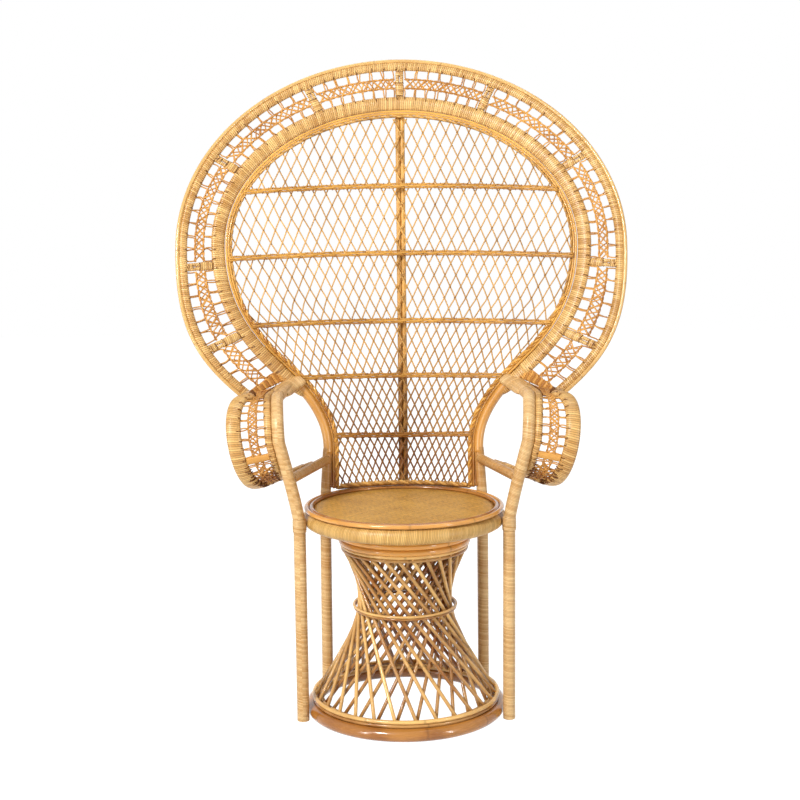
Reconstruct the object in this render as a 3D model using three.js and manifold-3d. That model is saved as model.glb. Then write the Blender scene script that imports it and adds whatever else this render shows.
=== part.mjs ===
// Peacock chair in wrapped rattan: an hourglass pedestal of crossed rods carries a round
// woven seat, four wrapped legs stand round it, and a keyhole shaped fan back with a laced
// border runs forward at its lower ends into two scrolled arms.
// Millimetres, +Z up, the sitter looks along -Y.
import * as THREE from 'three';
import Module from 'manifold-3d';

const wasm = await Module();
wasm.setup();

// Driving sizes of the whole chair
const clearance = 0.3;
const footprintRadius = 224;
const seatHeight = 466;
const fanTopHeight = 1467;
const fanWideShare = 0.4495;
const fanHalfWidth = 514;
const armTopHeight = 710;

// Hoops of the base
const baseTube = 14.6;
const baseFlat = 1;
const upperHoopTube = 9;
const hoopSides = 8;
const hoopSteps = 30;
const rodSides = 6;
const rodFlatShare = Math.cos(Math.PI / rodSides);

// Pedestal of two crossed layers of straight rods
const spokeCount = 28;
const spokeRadius = 4.5;
const spokeSides = 5;
const spokeTwistSteps = 8;
const spokeFootRadius = 205;
const spokeTopRadius = 138;
const topHoopTube = 8;
const layerGap = 15;
const innerHoopTube = 5.6;
const spokeHoopSides = 6;
const waistHeight = 240;
const waistTube = 5.5;
const pedestalRingTube = 7;
const pedestalStackHeight = 41;
const pedestalRingRadius = 140;
const pedestalRingFlare = 14;
const ringFlatShare = Math.tan(Math.PI / hoopSides);

// Seat
const seatRingTube = 17.5;
const seatPanelThickness = 5.2;
const seatRingHeight = seatHeight - seatPanelThickness - clearance - seatRingTube;
const braceSpread = 75;
const braceSides = 10;
const seatDiscRadius = 199;
const seatCrown = 2.5;
const seatFlatRadius = 120;
const seatRimTube = 5.5;

// Legs and posts
const legRadius = 14;
const legSides = 10;
const frontLegAngle = THREE.MathUtils.degToRad(-18);
const postTopSpread = 40;
const postLeanStart = 446;
const postBendShare = 1.15;
const postBendSteps = 4;
const postCurlSteps = 5;
const sideRailRadius = 10.5;
const sideRailSides = 8;
const sideRailFrontRise = 75;
const sideRailRearRise = 74;

// Keyhole back: a leaning surface whose wings come forward
const leanStartHeight = 460;
const backStartDepth = 200;
const backLeanShare = 0.1584;
const wingForward = 100;
const neckForward = 37.5;
const neckCurveFall = 235;
const borderTopWidth = 138;
const borderSideWidth = 123;
const openingWideShare = 0.4778;
const innerEndX = 262;
const neckRise = 201;
const borderEndWidth = 127;
const borderEndTurn = THREE.MathUtils.degToRad(36);
const outlineEndTurn = THREE.MathUtils.degToRad(47);
const outerFullShare = 0.545;
const outerSweepShare = 0.373;
const innerFullShare = 0.502;
const innerSweepShare = 0.2974;
const neckHalfWidth = 152;
const neckStraightRise = 99;
const neckTopHeight = seatHeight + neckStraightRise;

// Pieces across the border, from the rim inwards
const rimRodRadius = 4.7;
const outerBandWidth = 19.5;
const outerBandThickness = 15;
const innerBandWidth = 32;
const innerBandThickness = 16;
const trimRadius = 2.7;
const trimDepth = 3.4;
const neckPoleRadius = 10;
const poleSides = 8;
const trimSides = 5;
const borderFacets = 35;
const neckSteps = 6;
const neckStraightSteps = 1;
const bandTailSteps = 2;
const bandOutlineShares = [[0.5, 0], [0.3, 0.5], [-0.3, 0.5], [-0.5, 0], [-0.3, -0.5], [0.3, -0.5]];

// Lace and spars of the border and the arms
const laceRadius = 2.3;
const laceSides = 3;
const laceRungShare = 0.34;
const lacePitch = 46;
const laceLinkShare = 0.2;
const sparPlaceShares = [0, 0.32, 0.7, 1.13, 1.64];
const sparWidth = 20;
const sparThickness = 9;

// Diamond lattice in two layers, centre stake and crossbars
const diamondWidth = 51;
const diamondHeight = 106;
const strandRadius = 1.7;
const strandSides = 3;
const strandLayerGap = 2.3;
const neckStrandStep = 49;
const strandStepShare = 0.2;
const shortStrandShare = 0.6;
const stakeWidth = 22;
const stakeThickness = 10;
const barHeight = 12;
const barThickness = 7;
const barPlaceShares = [0.797, 0.619, 0.44, 0.296, 0.139];
const barRise = 12;
const barSteps = 8;
const barClearance = 0.6;
const barOverlap = 8;
const bottomSteps = 6;

// Arms: a laced strip that runs forward, scrolls down and returns under to the side rail
const armStandOff = 10.5;
const armStartDrop = 8;
const armPostX = 276;
const armPostStartX = 264;
const armPostStartDrop = -2;
const armCurlDip = 3;
const armCurlSpread = 13;
const armInnerCurlRadius = (armTopHeight - seatHeight - sideRailFrontRise + armCurlDip) / 2;
const armCurlRadius = armInnerCurlRadius + armCurlSpread;
const armCurlDepth = 0;
const armOuterX = 356;
const armOuterFlare = 36;
const armFlareShare = 0.6;
const armOuterTuck = 36;
const railGap = 0.9;
const armRailWidth = 32;
const armRailThickness = 16;
const armInnerRailWidth = 14;
const armReturnDepth = 112;
const armReturnSpread = 34;
const armReturnSag = 10;
const armRunSteps = 2;
const armCurlSteps = 9;
const armReturnSteps = 3;
const armSparPlaceShare = 0.6;

const colours = {
  cane: 0xd9a860, rod: 0xcf9448, pole: 0xb06a2c, dark: 0x9a5a26, lattice: 0xc79a5e, seat: 0xc8924e,
};
const group = new THREE.Group();

// Closed body through rings of points that run along a path
function loftBody(rings, looped = false) {
  const sides = rings[0].length;
  const spans = looped ? rings.length : rings.length - 1;
  const index = [];
  for (let i = 0; i < spans; i += 1) {
    const here = i * sides;
    const next = ((i + 1) % rings.length) * sides;
    for (let j = 0; j < sides; j += 1) {
      const k = (j + 1) % sides;
      index.push(here + j, here + k, next + k, here + j, next + k, next + j);
    }
  }
  const last = (rings.length - 1) * sides;
  for (let j = 1; !looped && j < sides - 1; j += 1) {
    index.push(0, j + 1, j, last, last + j, last + j + 1);
  }
  return facedOut(rings.flat(), index);
}

// Geometry from points and triangles, turned so that its faces point outwards
function facedOut(points, index) {
  let volume = 0;
  for (let i = 0; i < index.length; i += 3) {
    const [a, b, c] = [points[index[i]], points[index[i + 1]], points[index[i + 2]]];
    volume += a.dot(b.clone().cross(c));
  }
  const ordered = volume < 0 ? index.reverse() : index;
  const geometry = new THREE.BufferGeometry().setFromPoints(points);
  geometry.setIndex(ordered);
  return geometry;
}

// Regular section: its flats lie at the radius on thick tubes, and its corners do on thin canes
function roundSection(radius, sides) {
  const reach = sides < hoopSides ? radius : radius / Math.cos(Math.PI / sides);
  return Array.from({ length: sides }, (_, j) => {
    const angle = (j + 0.5) * 2 * Math.PI / sides;
    return [reach * Math.cos(angle), reach * Math.sin(angle)];
  });
}

// Section swept along points with mitred bends; facing says where its first flat looks
function sweep(points, section, facing, looped = false) {
  const count = points.length;
  const rings = points.map((point, i) => {
    const before = points[(i - 1 + count) % count];
    const after = points[(i + 1) % count];
    const first = !looped && i === 0;
    const last = !looped && i === count - 1;
    const into = first ? after.clone().sub(point).normalize() : point.clone().sub(before).normalize();
    const out = last ? into.clone() : after.clone().sub(point).normalize();
    const mitre = into.clone().add(out).normalize();
    const hint = Array.isArray(facing) ? facing[i] : facing;
    const across = hint.clone().addScaledVector(into, -hint.dot(into)).normalize();
    const side = into.clone().cross(across);
    return section.map(([u, v]) => {
      const offset = across.clone().multiplyScalar(u).addScaledVector(side, v);
      offset.addScaledVector(into, -offset.dot(mitre) / into.dot(mitre));
      return point.clone().add(offset);
    });
  });
  return loftBody(rings, looped);
}

// Hoop round the chair's axis, cut flat below the floor height where one is given
function hoopBody(radius, height, tube, sides = hoopSides, steps = hoopSteps, floor = -Infinity) {
  const phase = steps === spokeCount ? 0 : 0.5;
  const section = roundSection(tube, sides);
  const rings = Array.from({ length: steps }, (_, i) => {
    const angle = (i + phase) * 2 * Math.PI / steps;
    return section.map(([v, u]) => onCircle(radius + u, angle, Math.max(height + v, floor)));
  });
  return loftBody(rings, true);
}

// Solids for joining and cutting
function solidOf(geometry) {
  return new wasm.Manifold(new wasm.Mesh({
    numProp: 3,
    vertProperties: new Float32Array(geometry.attributes.position.array),
    triVerts: new Uint32Array(geometry.index.array),
  }));
}

function geometryOf(solid) {
  const mesh = solid.getMesh();
  const geometry = new THREE.BufferGeometry();
  geometry.setAttribute('position', new THREE.Float32BufferAttribute(mesh.vertProperties, 3));
  geometry.setIndex(new THREE.Uint32BufferAttribute(mesh.triVerts, 1));
  return geometry;
}

function joined(geometries) {
  return geometryOf(geometries.map(solidOf).reduce((whole, next) => whole.add(next)));
}

function coped(geometry, cutters) {
  const whole = cutters.map(solidOf).reduce((rest, cutter) => rest.subtract(cutter), solidOf(geometry));
  return geometryOf(whole);
}

// Copy on the other side of the chair
function mirrored(geometry) {
  const copy = geometry.clone();
  copy.scale(-1, 1, 1);
  copy.setIndex([...geometry.index.array].reverse());
  return copy;
}

function addPiece(name, geometry, colour) {
  const material = new THREE.MeshStandardMaterial({ color: colour, roughness: 0.5, metalness: 0 });
  geometry.deleteAttribute('normal');
  geometry.computeVertexNormals();
  const mesh = new THREE.Mesh(geometry, material);
  mesh.name = name;
  group.add(mesh);
}

function addPair(name, geometry, colour) {
  addPiece(`${name}_right`, geometry, colour);
  addPiece(`${name}_left`, mirrored(geometry), colour);
}

// Keyhole back surface: it leans back, its wings and its neck come forward
function backDepth(x, z) {
  const rise = z - leanStartHeight;
  const wing = wingForward * (x / fanHalfWidth) ** 2;
  const neck = neckForward * (x / neckHalfWidth) ** 2 * Math.exp(-rise / neckCurveFall);
  return backStartDepth + rise * backLeanShare - wing - neck;
}

// Unit vector that stands off the back towards the sitter
function backFacing(x, z) {
  const span = trimRadius;
  const slopeX = (backDepth(x + span, z) - backDepth(x - span, z)) / (2 * span);
  const slopeZ = (backDepth(x, z + span) - backDepth(x, z - span)) / (2 * span);
  return new THREE.Vector3(slopeX, -1, slopeZ).normalize();
}

function onBack(x, z, forward = 0) {
  return new THREE.Vector3(x, backDepth(x, z), z).addScaledVector(backFacing(x, z), forward);
}

// Outlines of the right half in the front elevation, as points (x, height)
const flat = (x, z) => new THREE.Vector2(x, z);

function quarterArc(halfWidth, wideHeight, topHeight) {
  return new THREE.EllipseCurve(0, wideHeight, halfWidth, topHeight - wideHeight, Math.PI / 2, 0, true);
}

const innerEndHeight = neckTopHeight + neckRise;
const openingHalfWidth = fanHalfWidth - borderSideWidth;
const openingTopHeight = fanTopHeight - borderTopWidth;
const borderEndX = innerEndX + borderEndWidth * Math.cos(borderEndTurn);
const borderEndHeight = innerEndHeight - borderEndWidth * Math.sin(borderEndTurn);
const fanWideHeight = THREE.MathUtils.lerp(borderEndHeight, fanTopHeight, fanWideShare);
const openingWideHeight = THREE.MathUtils.lerp(innerEndHeight, openingTopHeight, openingWideShare);
const outerSweep = outerSweepShare * (fanWideHeight - borderEndHeight);
const innerSweep = innerSweepShare * (openingWideHeight - innerEndHeight);
const seatBottom = seatHeight - seatPanelThickness;
const rimFlat = seatRimTube * rodFlatShare;
const trimBottom = seatBottom + 2 * rimFlat + 2 * clearance + trimRadius + trimDepth * backLeanShare;

const endRun = flat(Math.sin(outlineEndTurn), Math.cos(outlineEndTurn));

const outerArcs = [
  quarterArc(fanHalfWidth, fanWideHeight, fanTopHeight),
  new THREE.CubicBezierCurve(
    flat(fanHalfWidth, fanWideHeight),
    flat(fanHalfWidth, THREE.MathUtils.lerp(fanWideHeight, borderEndHeight, outerFullShare)),
    flat(borderEndX + outerSweep * endRun.x, borderEndHeight + outerSweep * endRun.y),
    flat(borderEndX, borderEndHeight),
  ),
];
const innerArcs = [
  quarterArc(openingHalfWidth, openingWideHeight, openingTopHeight),
  new THREE.CubicBezierCurve(
    flat(openingHalfWidth, openingWideHeight),
    flat(openingHalfWidth, THREE.MathUtils.lerp(openingWideHeight, innerEndHeight, innerFullShare)),
    flat(innerEndX + innerSweep * endRun.x, innerEndHeight + innerSweep * endRun.y),
    flat(innerEndX, innerEndHeight),
  ),
];
const neckArc = new THREE.CubicBezierCurve(
  flat(innerEndX, innerEndHeight),
  flat(innerEndX - innerSweep * endRun.x, innerEndHeight - innerSweep * endRun.y),
  flat(neckHalfWidth, neckTopHeight + innerSweep),
  flat(neckHalfWidth, neckTopHeight),
);

// Point on an outline of two arcs: 0 is the top, 1 the widest point, 2 the lower end
function alongArcs(arcs, share) {
  const part = Math.min(Math.floor(share), arcs.length - 1);
  return arcs[part].getPointAt(Math.min(share - part, 1));
}

// A ruled strip of stations, each with an outer edge, an inner edge and a facing
class Strip {
  constructor(stations) {
    this.stations = stations;
    this.lengths = [0];
    for (let i = 1; i < stations.length; i += 1) {
      const step = this.middle(i).distanceTo(this.middle(i - 1));
      this.lengths.push(this.lengths[i - 1] + step);
    }
  }

  middle(i) {
    const { outer, inner } = this.stations[i];
    return outer.clone().add(inner).multiplyScalar(0.5);
  }

  // Point at a station, so far in from the outer edge and forward of the strip
  fromOuter(i, inset, forward = 0) {
    const { outer, inner, facing } = this.stations[i];
    const across = inner.clone().sub(outer).normalize();
    return outer.clone().addScaledVector(across, inset).addScaledVector(facing, forward);
  }

  fromInner(i, inset, forward = 0) {
    const { outer, inner } = this.stations[i];
    return this.fromOuter(i, inner.distanceTo(outer) - inset, forward);
  }

  // Point at a length along the strip, at a share of the way between two insets
  between(length, share, insets, forward = 0) {
    const last = this.lengths.length - 2;
    let i = this.lengths.findIndex((reach) => reach > length) - 1;
    if (i < 0) i = length <= 0 ? 0 : last;
    const part = (length - this.lengths[i]) / (this.lengths[i + 1] - this.lengths[i]);
    const ends = [i, i + 1].map((k) => {
      const outer = this.fromOuter(k, insets.outer(k), forward);
      return outer.lerp(this.fromInner(k, insets.inner(k), forward), share);
    });
    return ends[0].lerp(ends[1], part);
  }

  facingAt(length) {
    const i = this.lengths.findIndex((reach) => reach >= length);
    return this.stations[Math.max(i, 0)].facing;
  }
}

// Rings of a band along a strip; the outline is in shares of its width and thickness
function bandRings(strip, first, last, edge, place, outline) {
  const rings = [];
  for (let i = first; i <= last; i += 1) {
    const { inset, width, thickness } = place(i);
    rings.push(outline.map(([across, up]) => (edge === 'outer'
      ? strip.fromOuter(i, inset + width * (0.5 + across), thickness * up)
      : strip.fromInner(i, inset + width * (0.5 + across), thickness * up))));
  }
  return rings;
}

// Laced canes between two bands: two canes zigzag, cross once a pitch and run side by side between
function laceBody(strip, from, to, insets) {
  const count = Math.max(Math.round((to - from) / lacePitch), 1);
  const pitch = (to - from) / count;
  const canes = [0, 1].map(() => ({ points: [], facings: [] }));
  for (let j = 0; j < count; j += 1) {
    const start = from + pitch * (j + laceLinkShare / 2);
    const end = from + pitch * (j + 1 - laceLinkShare / 2);
    canes.forEach((cane, side) => {
      const outward = (j + side) % 2 === 0;
      const shares = outward ? [0, laceRungShare, 1 - laceRungShare, 1] : [1, 1 - laceRungShare, laceRungShare, 0];
      [start, start, end, end].forEach((length, k) => {
        cane.points.push(strip.between(length, shares[k], insets));
        cane.facings.push(strip.facingAt(length));
      });
    });
  }
  const section = roundSection(laceRadius, laceSides);
  return joined(canes.map(({ points, facings }) => sweep(points, section, facings)));
}

// Stations of the back strip: up the left neck, round the border and down the right neck
function stationOn(outer, inner, side) {
  const middle = outer.clone().lerp(inner, 0.5);
  const station = { outer: onBack(side * outer.x, outer.y), inner: onBack(side * inner.x, inner.y) };
  const across = station.inner.clone().sub(station.outer).normalize();
  const facing = backFacing(side * middle.x, middle.y);
  station.facing = facing.addScaledVector(across, -facing.dot(across)).normalize();
  return station;
}

function neckStation(point, tangent, side) {
  const outward = flat(-tangent.y, tangent.x).multiplyScalar(innerBandWidth);
  return stationOn(point.clone().add(outward), point, side);
}

function backStations() {
  const neck = [];
  for (let j = 1; j <= neckSteps; j += 1) {
    const share = j / neckSteps;
    neck.push([neckArc.getPointAt(share), neckArc.getTangentAt(share)]);
  }
  for (let j = 1; j <= neckStraightSteps; j += 1) {
    const height = THREE.MathUtils.lerp(neckTopHeight, trimBottom, j / neckStraightSteps);
    neck.push([flat(neckHalfWidth, height), flat(0, -1)]);
  }
  const left = neck.map(([point, tangent]) => neckStation(point, tangent, -1)).reverse();
  const right = neck.map(([point, tangent]) => neckStation(point, tangent, 1));
  const border = Array.from({ length: borderFacets + 1 }, (_, i) => {
    const share = 2 * (2 * i / borderFacets - 1);
    const reach = Math.abs(share);
    return stationOn(alongArcs(outerArcs, reach), alongArcs(innerArcs, reach), Math.sign(share));
  });
  return [...left, ...border, ...right];
}

const back = new Strip(backStations());
const borderFirst = neckSteps + neckStraightSteps;
const borderLast = borderFirst + borderFacets;
const bandFirst = borderFirst - bandTailSteps;
const bandLast = borderLast + bandTailSteps;
const neckTopStation = borderLast + neckSteps;
const lastStation = back.stations.length - 1;

const outerBandInset = 2 * rimRodRadius + clearance;
const laceOuterInset = outerBandInset + outerBandWidth + clearance;
const trimPitch = 2 * trimRadius + clearance;
const innerBandInset = 3 * trimPitch;
const laceInnerInset = innerBandInset + innerBandWidth + clearance;

const fixed = (value) => () => value;
const backInsets = { outer: fixed(laceOuterInset + laceRadius), inner: fixed(laceInnerInset + laceRadius) };
const backSparInsets = { outer: fixed(laceOuterInset), inner: fixed(laceInnerInset) };

// Draws the first or last ring of a body back along its own edges, which leaves a clearance
function drawnBack(rings, gap, atEnd) {
  const list = atEnd ? [...rings].reverse() : [...rings];
  const moved = list[0].map((point, j) => {
    const step = list[1][j].clone().sub(point).setLength(gap);
    return point.clone().add(step);
  });
  list[0] = moved;
  return atEnd ? list.reverse() : list;
}

// Lowest and highest station lengths of the facet that a spar sits on
function facetMiddle(strip, facet) {
  return (strip.lengths[facet] + strip.lengths[facet + 1]) / 2;
}

function sparBody(strip, facet, insets) {
  const middle = facetMiddle(strip, facet);
  const rings = [0, 1].map((share) => bandOutlineShares.map(([along, up]) => (
    strip.between(middle + along * sparWidth, share, insets, up * sparThickness))));
  return loftBody(rings);
}

function addBase() {
  const baseRadius = footprintRadius - baseTube;
  const ringBody = hoopBody(baseRadius, baseTube - baseFlat, baseTube, hoopSides, hoopSteps, 0);
  addPiece('base_ring', ringBody, colours.dark);
}

// One layer of straight rods between its two hoops, all leaning round the same way
function spokeLayer(bottomHoop, topHoop, side) {
  const twist = side * spokeTwistSteps * 2 * Math.PI / spokeCount;
  const section = roundSection(spokeRadius, spokeSides);
  const hoops = [bottomHoop, topHoop].filter((hoop) => hoop.tube > 0);
  const bodies = hoops.map(({ radius, height, tube }) => (
    hoopBody(radius, height, tube, spokeHoopSides, spokeCount)));
  for (let i = 0; i < spokeCount; i += 1) {
    const angle = (i + 0.5) * 2 * Math.PI / spokeCount;
    const foot = onCircle(bottomHoop.radius, angle, bottomHoop.height);
    const head = onCircle(topHoop.radius, angle + twist, topHoop.height);
    bodies.push(sweep([foot, head], section, onCircle(1, angle + twist / 2, 0)));
  }
  return joined(bodies);
}

function onCircle(radius, angle, height) {
  return new THREE.Vector3(radius * Math.cos(angle), radius * Math.sin(angle), height);
}

// Distance from the chair's axis to the middle of a leaning rod at a height
function spokeReachAt(height, foot, head) {
  const share = (height - foot.height) / (head.height - foot.height);
  const twist = spokeTwistSteps * 2 * Math.PI / spokeCount;
  const along = (1 - share) * foot.radius + share * head.radius * Math.cos(twist);
  return Math.hypot(along, share * head.radius * Math.sin(twist));
}

function addPedestal() {
  const stackTop = seatRingHeight - seatRingTube - clearance;
  const stackBottom = stackTop - pedestalStackHeight;
  const hoopRise = 2 * baseTube - baseFlat + clearance + upperHoopTube * rodFlatShare;
  const upperHoop = { radius: spokeFootRadius, height: hoopRise, tube: upperHoopTube };
  const topHoop = { radius: spokeTopRadius, tube: topHoopTube };
  topHoop.height = stackBottom - clearance - topHoopTube * rodFlatShare;
  addPiece('spokes_outer', spokeLayer(upperHoop, topHoop, -1), colours.rod);
  const innerUpper = { ...upperHoop, radius: spokeFootRadius - layerGap, tube: innerHoopTube };
  innerUpper.height = hoopRise - upperHoopTube + innerHoopTube;
  const innerTop = { ...topHoop, radius: spokeTopRadius - topHoopTube - spokeRadius - clearance, tube: 0 };
  addPiece('spokes_inner', spokeLayer(innerUpper, innerTop, 1), colours.rod);
  const waistRadius = spokeReachAt(waistHeight, upperHoop, topHoop) + spokeRadius + waistTube + clearance;
  addPiece('waist_ring', hoopBody(waistRadius, waistHeight, waistTube, spokeHoopSides, spokeCount), colours.rod);
  addPiece('pedestal_ring', ringStack(stackBottom, stackTop), colours.pole);
}

// Stacked rings under the seat as one body, which spreads towards its top
function ringStack(bottom, top) {
  const flat = pedestalRingTube * ringFlatShare;
  const chamfer = pedestalRingTube - flat;
  const half = [[bottom, 0, -flat], [bottom, 0, flat], [bottom + chamfer, 0, pedestalRingTube],
    [top - chamfer, pedestalRingFlare, pedestalRingTube]];
  const otherHalf = half.map(([height, shift, out]) => (
    [bottom + top - height, pedestalRingFlare - shift, -out]));
  const rings = Array.from({ length: hoopSteps }, (_, i) => (
    [...half, ...otherHalf].map(([height, shift, out]) => (
      onCircle(pedestalRingRadius + shift + out, (i + 0.5) * 2 * Math.PI / hoopSteps, height)))));
  return loftBody(rings, true);
}

// Two stout poles lie on the pedestal inside the seat ring and carry the woven panel
function addSeat() {
  const ringRadius = footprintRadius - seatRingTube;
  const braceSide = braceSpread + seatRingTube / Math.cos(Math.PI / braceSides);
  const innerRadius = (ringRadius - seatRingTube) * Math.cos(Math.PI / hoopSteps) - clearance;
  const braceReach = Math.sqrt(innerRadius ** 2 - braceSide ** 2);
  const ends = [-1, 1].map((end) => new THREE.Vector3(braceSpread, end * braceReach, seatRingHeight));
  const up = new THREE.Vector3(0, 0, 1);
  addPair('seat_brace', sweep(ends, roundSection(seatRingTube, braceSides), up), colours.pole);
  addPiece('seat_ring', hoopBody(ringRadius, seatRingHeight, seatRingTube), colours.cane);

  const profile = [[seatDiscRadius, seatBottom], [seatDiscRadius, seatHeight - seatCrown],
    [(seatDiscRadius + seatFlatRadius) / 2, seatHeight - seatCrown / 3], [seatFlatRadius, seatHeight]];
  const rings = profile.map(([radius, height]) => (
    Array.from({ length: hoopSteps }, (_, i) => onCircle(radius, i * 2 * Math.PI / hoopSteps, height))));
  addPiece('seat_panel', loftBody(rings), colours.seat);
  const rimHeight = seatBottom + rimFlat;
  const innerRim = seatDiscRadius + clearance + seatRimTube;
  const outerRim = innerRim + 2 * seatRimTube + clearance;
  addPiece('seat_rim_inner', hoopBody(innerRim, rimHeight, seatRimTube, rodSides), colours.dark);
  addPiece('seat_rim_outer', hoopBody(outerRim, rimHeight, seatRimTube, rodSides), colours.dark);
}

// Front posts stand beside the base and the seat, then lean out and end under the arm rails
const legReach = legRadius / Math.cos(Math.PI / legSides);
const sideRailReach = sideRailRadius / Math.cos(Math.PI / sideRailSides);
const legCircle = footprintRadius + clearance + legReach;
const postFoot = onCircle(legCircle, frontLegAngle, 0);

const postTopHeight = armTopHeight - armInnerCurlRadius;

function postAt(height) {
  const lean = Math.max((height - postLeanStart) / (postTopHeight - postLeanStart), 0);
  const top = armCurlDepth - armInnerCurlRadius;
  return new THREE.Vector3(
    postFoot.x + postTopSpread * lean ** postBendShare,
    THREE.MathUtils.lerp(postFoot.y, top, lean),
    height);
}

// Middle line of the post as it turns back over the top of the arm, from 0 on top
function postCurl(turn) {
  return new THREE.Vector3(
    THREE.MathUtils.lerp(armPostX, postAt(postTopHeight).x, turn / (Math.PI / 2)),
    armCurlDepth - armInnerCurlRadius * Math.sin(turn),
    armTopHeight - armInnerCurlRadius * (1 - Math.cos(turn)));
}

function postBody(radius) {
  const points = [postFoot];
  for (let j = 0; j < postBendSteps; j += 1) {
    points.push(postAt(THREE.MathUtils.lerp(postLeanStart, postTopHeight, j / postBendSteps)));
  }
  for (let j = postCurlSteps; j >= 0; j -= 1) points.push(postCurl(j / postCurlSteps * Math.PI / 2));
  points.push(onBackFront(armPostStartX, armTopHeight - armPostStartDrop));
  return sweep(points, roundSection(radius, legSides), new THREE.Vector3(-1, 0, 0));
}

// Rear legs end under the neck poles, in the plane of the same station
function rearLegBody(radius) {
  const footX = neckHalfWidth + innerBandInset + legReach + clearance;
  const foot = new THREE.Vector3(footX, Math.sqrt(legCircle ** 2 - footX ** 2), 0);
  const knee = foot.clone().setZ(postLeanStart);
  const section = roundSection(radius, legSides);
  const rings = [foot, knee].map((centre) => section.map(([u, v]) => (
    centre.clone().add(new THREE.Vector3(u, -v, 0)))));
  const top = bandRings(back, neckTopStation, neckTopStation, 'inner',
    roundPlace(innerBandInset + clearance + legReach), section);
  return [...rings, top[0]];
}

// A place on a strip for a round section, whose outline is in real sizes
function roundPlace(inset) {
  return fixed({ inset: inset - 0.5, width: 1, thickness: 1 });
}

// Middle line of the right side rail, from the post back to the rear leg
function sideRailEnds() {
  const share = (seatHeight + sideRailRearRise - postLeanStart) / (neckTopHeight - postLeanStart);
  const [knee, top] = rearLegBody(legRadius).slice(1).map((ring) => (
    ring.reduce((sum, point) => sum.add(point), new THREE.Vector3()).divideScalar(ring.length)));
  return [postAt(seatHeight + sideRailFrontRise), knee.lerp(top, share)];
}

function sideRailPoint(depth) {
  const [front, rear] = sideRailEnds();
  return front.clone().lerp(rear, (depth - front.y) / (rear.y - front.y));
}

function addLegs() {
  addPair('front_post', postBody(legRadius), colours.cane);
  addPair('rear_leg', loftBody(drawnBack(rearLegBody(legRadius), clearance, true)), colours.cane);
  const section = roundSection(sideRailRadius, sideRailSides);
  const rail = sweep(sideRailEnds(), section, new THREE.Vector3(0, 0, 1));
  const cutters = [postBody(legRadius + clearance), loftBody(rearLegBody(legRadius + clearance))];
  addPair('side_rail', coped(rail, cutters), colours.cane);
}

function addBorder() {
  const stations = Array.from({ length: borderFacets + 1 }, (_, i) => borderFirst + i);
  const rimPoints = stations.map((i) => back.fromOuter(i, rimRodRadius));
  const facings = stations.map((i) => back.stations[i].facing);
  addPiece('rim_rod', sweep(rimPoints, roundSection(rimRodRadius, rodSides), facings), colours.pole);
  const outer = fixed({ inset: outerBandInset, width: outerBandWidth, thickness: outerBandThickness });
  const inner = fixed({ inset: innerBandInset, width: innerBandWidth, thickness: innerBandThickness });
  const outerRings = bandRings(back, borderFirst, borderLast, 'outer', outer, bandOutlineShares);
  const innerRings = bandRings(back, bandFirst, bandLast, 'inner', inner, bandOutlineShares);
  addPiece('border_outer_band', loftBody(outerRings), colours.cane);
  addPiece('border_inner_band', loftBody(innerRings), colours.cane);

  const middle = borderFirst + (borderFacets - 1) / 2;
  const facets = sparPlaceShares.map((share) => Math.round(share * borderFacets / 4));
  const right = facets.map((facet) => middle + facet);
  const left = facets.slice(1).map((facet) => middle - facet).reverse();
  const all = [...left, ...right];
  all.forEach((facet, i) => {
    addPiece(`border_spar_${i + 1}`, sparBody(back, facet, backSparInsets), colours.cane);
  });
  const gap = sparWidth / 2 + clearance + laceRadius;
  const stops = all.map((facet) => facetMiddle(back, facet));
  const starts = [back.lengths[borderFirst] + laceRadius - gap, ...stops];
  const finishes = [...stops, back.lengths[borderLast] - laceRadius + gap];
  starts.forEach((start, i) => {
    addPiece(`border_lace_${i + 1}`, laceBody(back, start + gap, finishes[i] - gap, backInsets), colours.rod);
  });
}

// Smooth poles carry on down the neck from the wrapped band to the rear legs
function addNeckPoles() {
  const place = roundPlace(innerBandInset + clearance + neckPoleRadius / Math.cos(Math.PI / poleSides));
  const section = roundSection(neckPoleRadius, poleSides);
  const rings = bandRings(back, bandLast, neckTopStation, 'inner', place, section);
  addPair('neck_pole', loftBody(drawnBack(rings, clearance, false)), colours.pole);
}

// Trim rods follow the keyhole; the first one in each layer closes along the bottom
function trimPoints(inset, forward) {
  return back.stations.map((_, i) => back.fromInner(i, inset, forward));
}

function closedTrim(forward) {
  const points = trimPoints(trimRadius, forward);
  const facings = back.stations.map((station) => station.facing);
  const [start, end] = [points[0].x, points[points.length - 1].x];
  for (let j = 1; j < bottomSteps; j += 1) {
    const x = THREE.MathUtils.lerp(end, start, j / bottomSteps);
    points.push(onBack(x, trimBottom, forward).setZ(points[0].z));
    facings.push(backFacing(x, trimBottom));
  }
  return sweep(points, roundSection(trimRadius, trimSides), facings, true);
}

function addTrims() {
  const facings = back.stations.map((station) => station.facing);
  ['middle', 'outer'].forEach((name, i) => {
    const points = trimPoints(trimRadius + (i + 1) * trimPitch, trimDepth);
    addPiece(`trim_rod_${name}`, sweep(points, roundSection(trimRadius, trimSides), facings), colours.rod);
  });
}

// Keyhole opening as a polygon in the front elevation, at the middle of the first trim rod
function openingPolygon() {
  const points = trimPoints(trimRadius, 0).map((point) => flat(point.x, point.z));
  return points;
}

// Heights at which a leaning line crosses the opening's polygon
function crossings(polygon, foot, lean) {
  const found = [];
  polygon.forEach((a, i) => {
    const b = polygon[(i + 1) % polygon.length];
    const [da, db] = [a, b].map((p) => p.x - foot - lean * p.y);
    if ((da < 0) !== (db < 0)) found.push(THREE.MathUtils.lerp(a.y, b.y, da / (da - db)));
  });
  return found.sort((p, q) => p - q);
}

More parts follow.
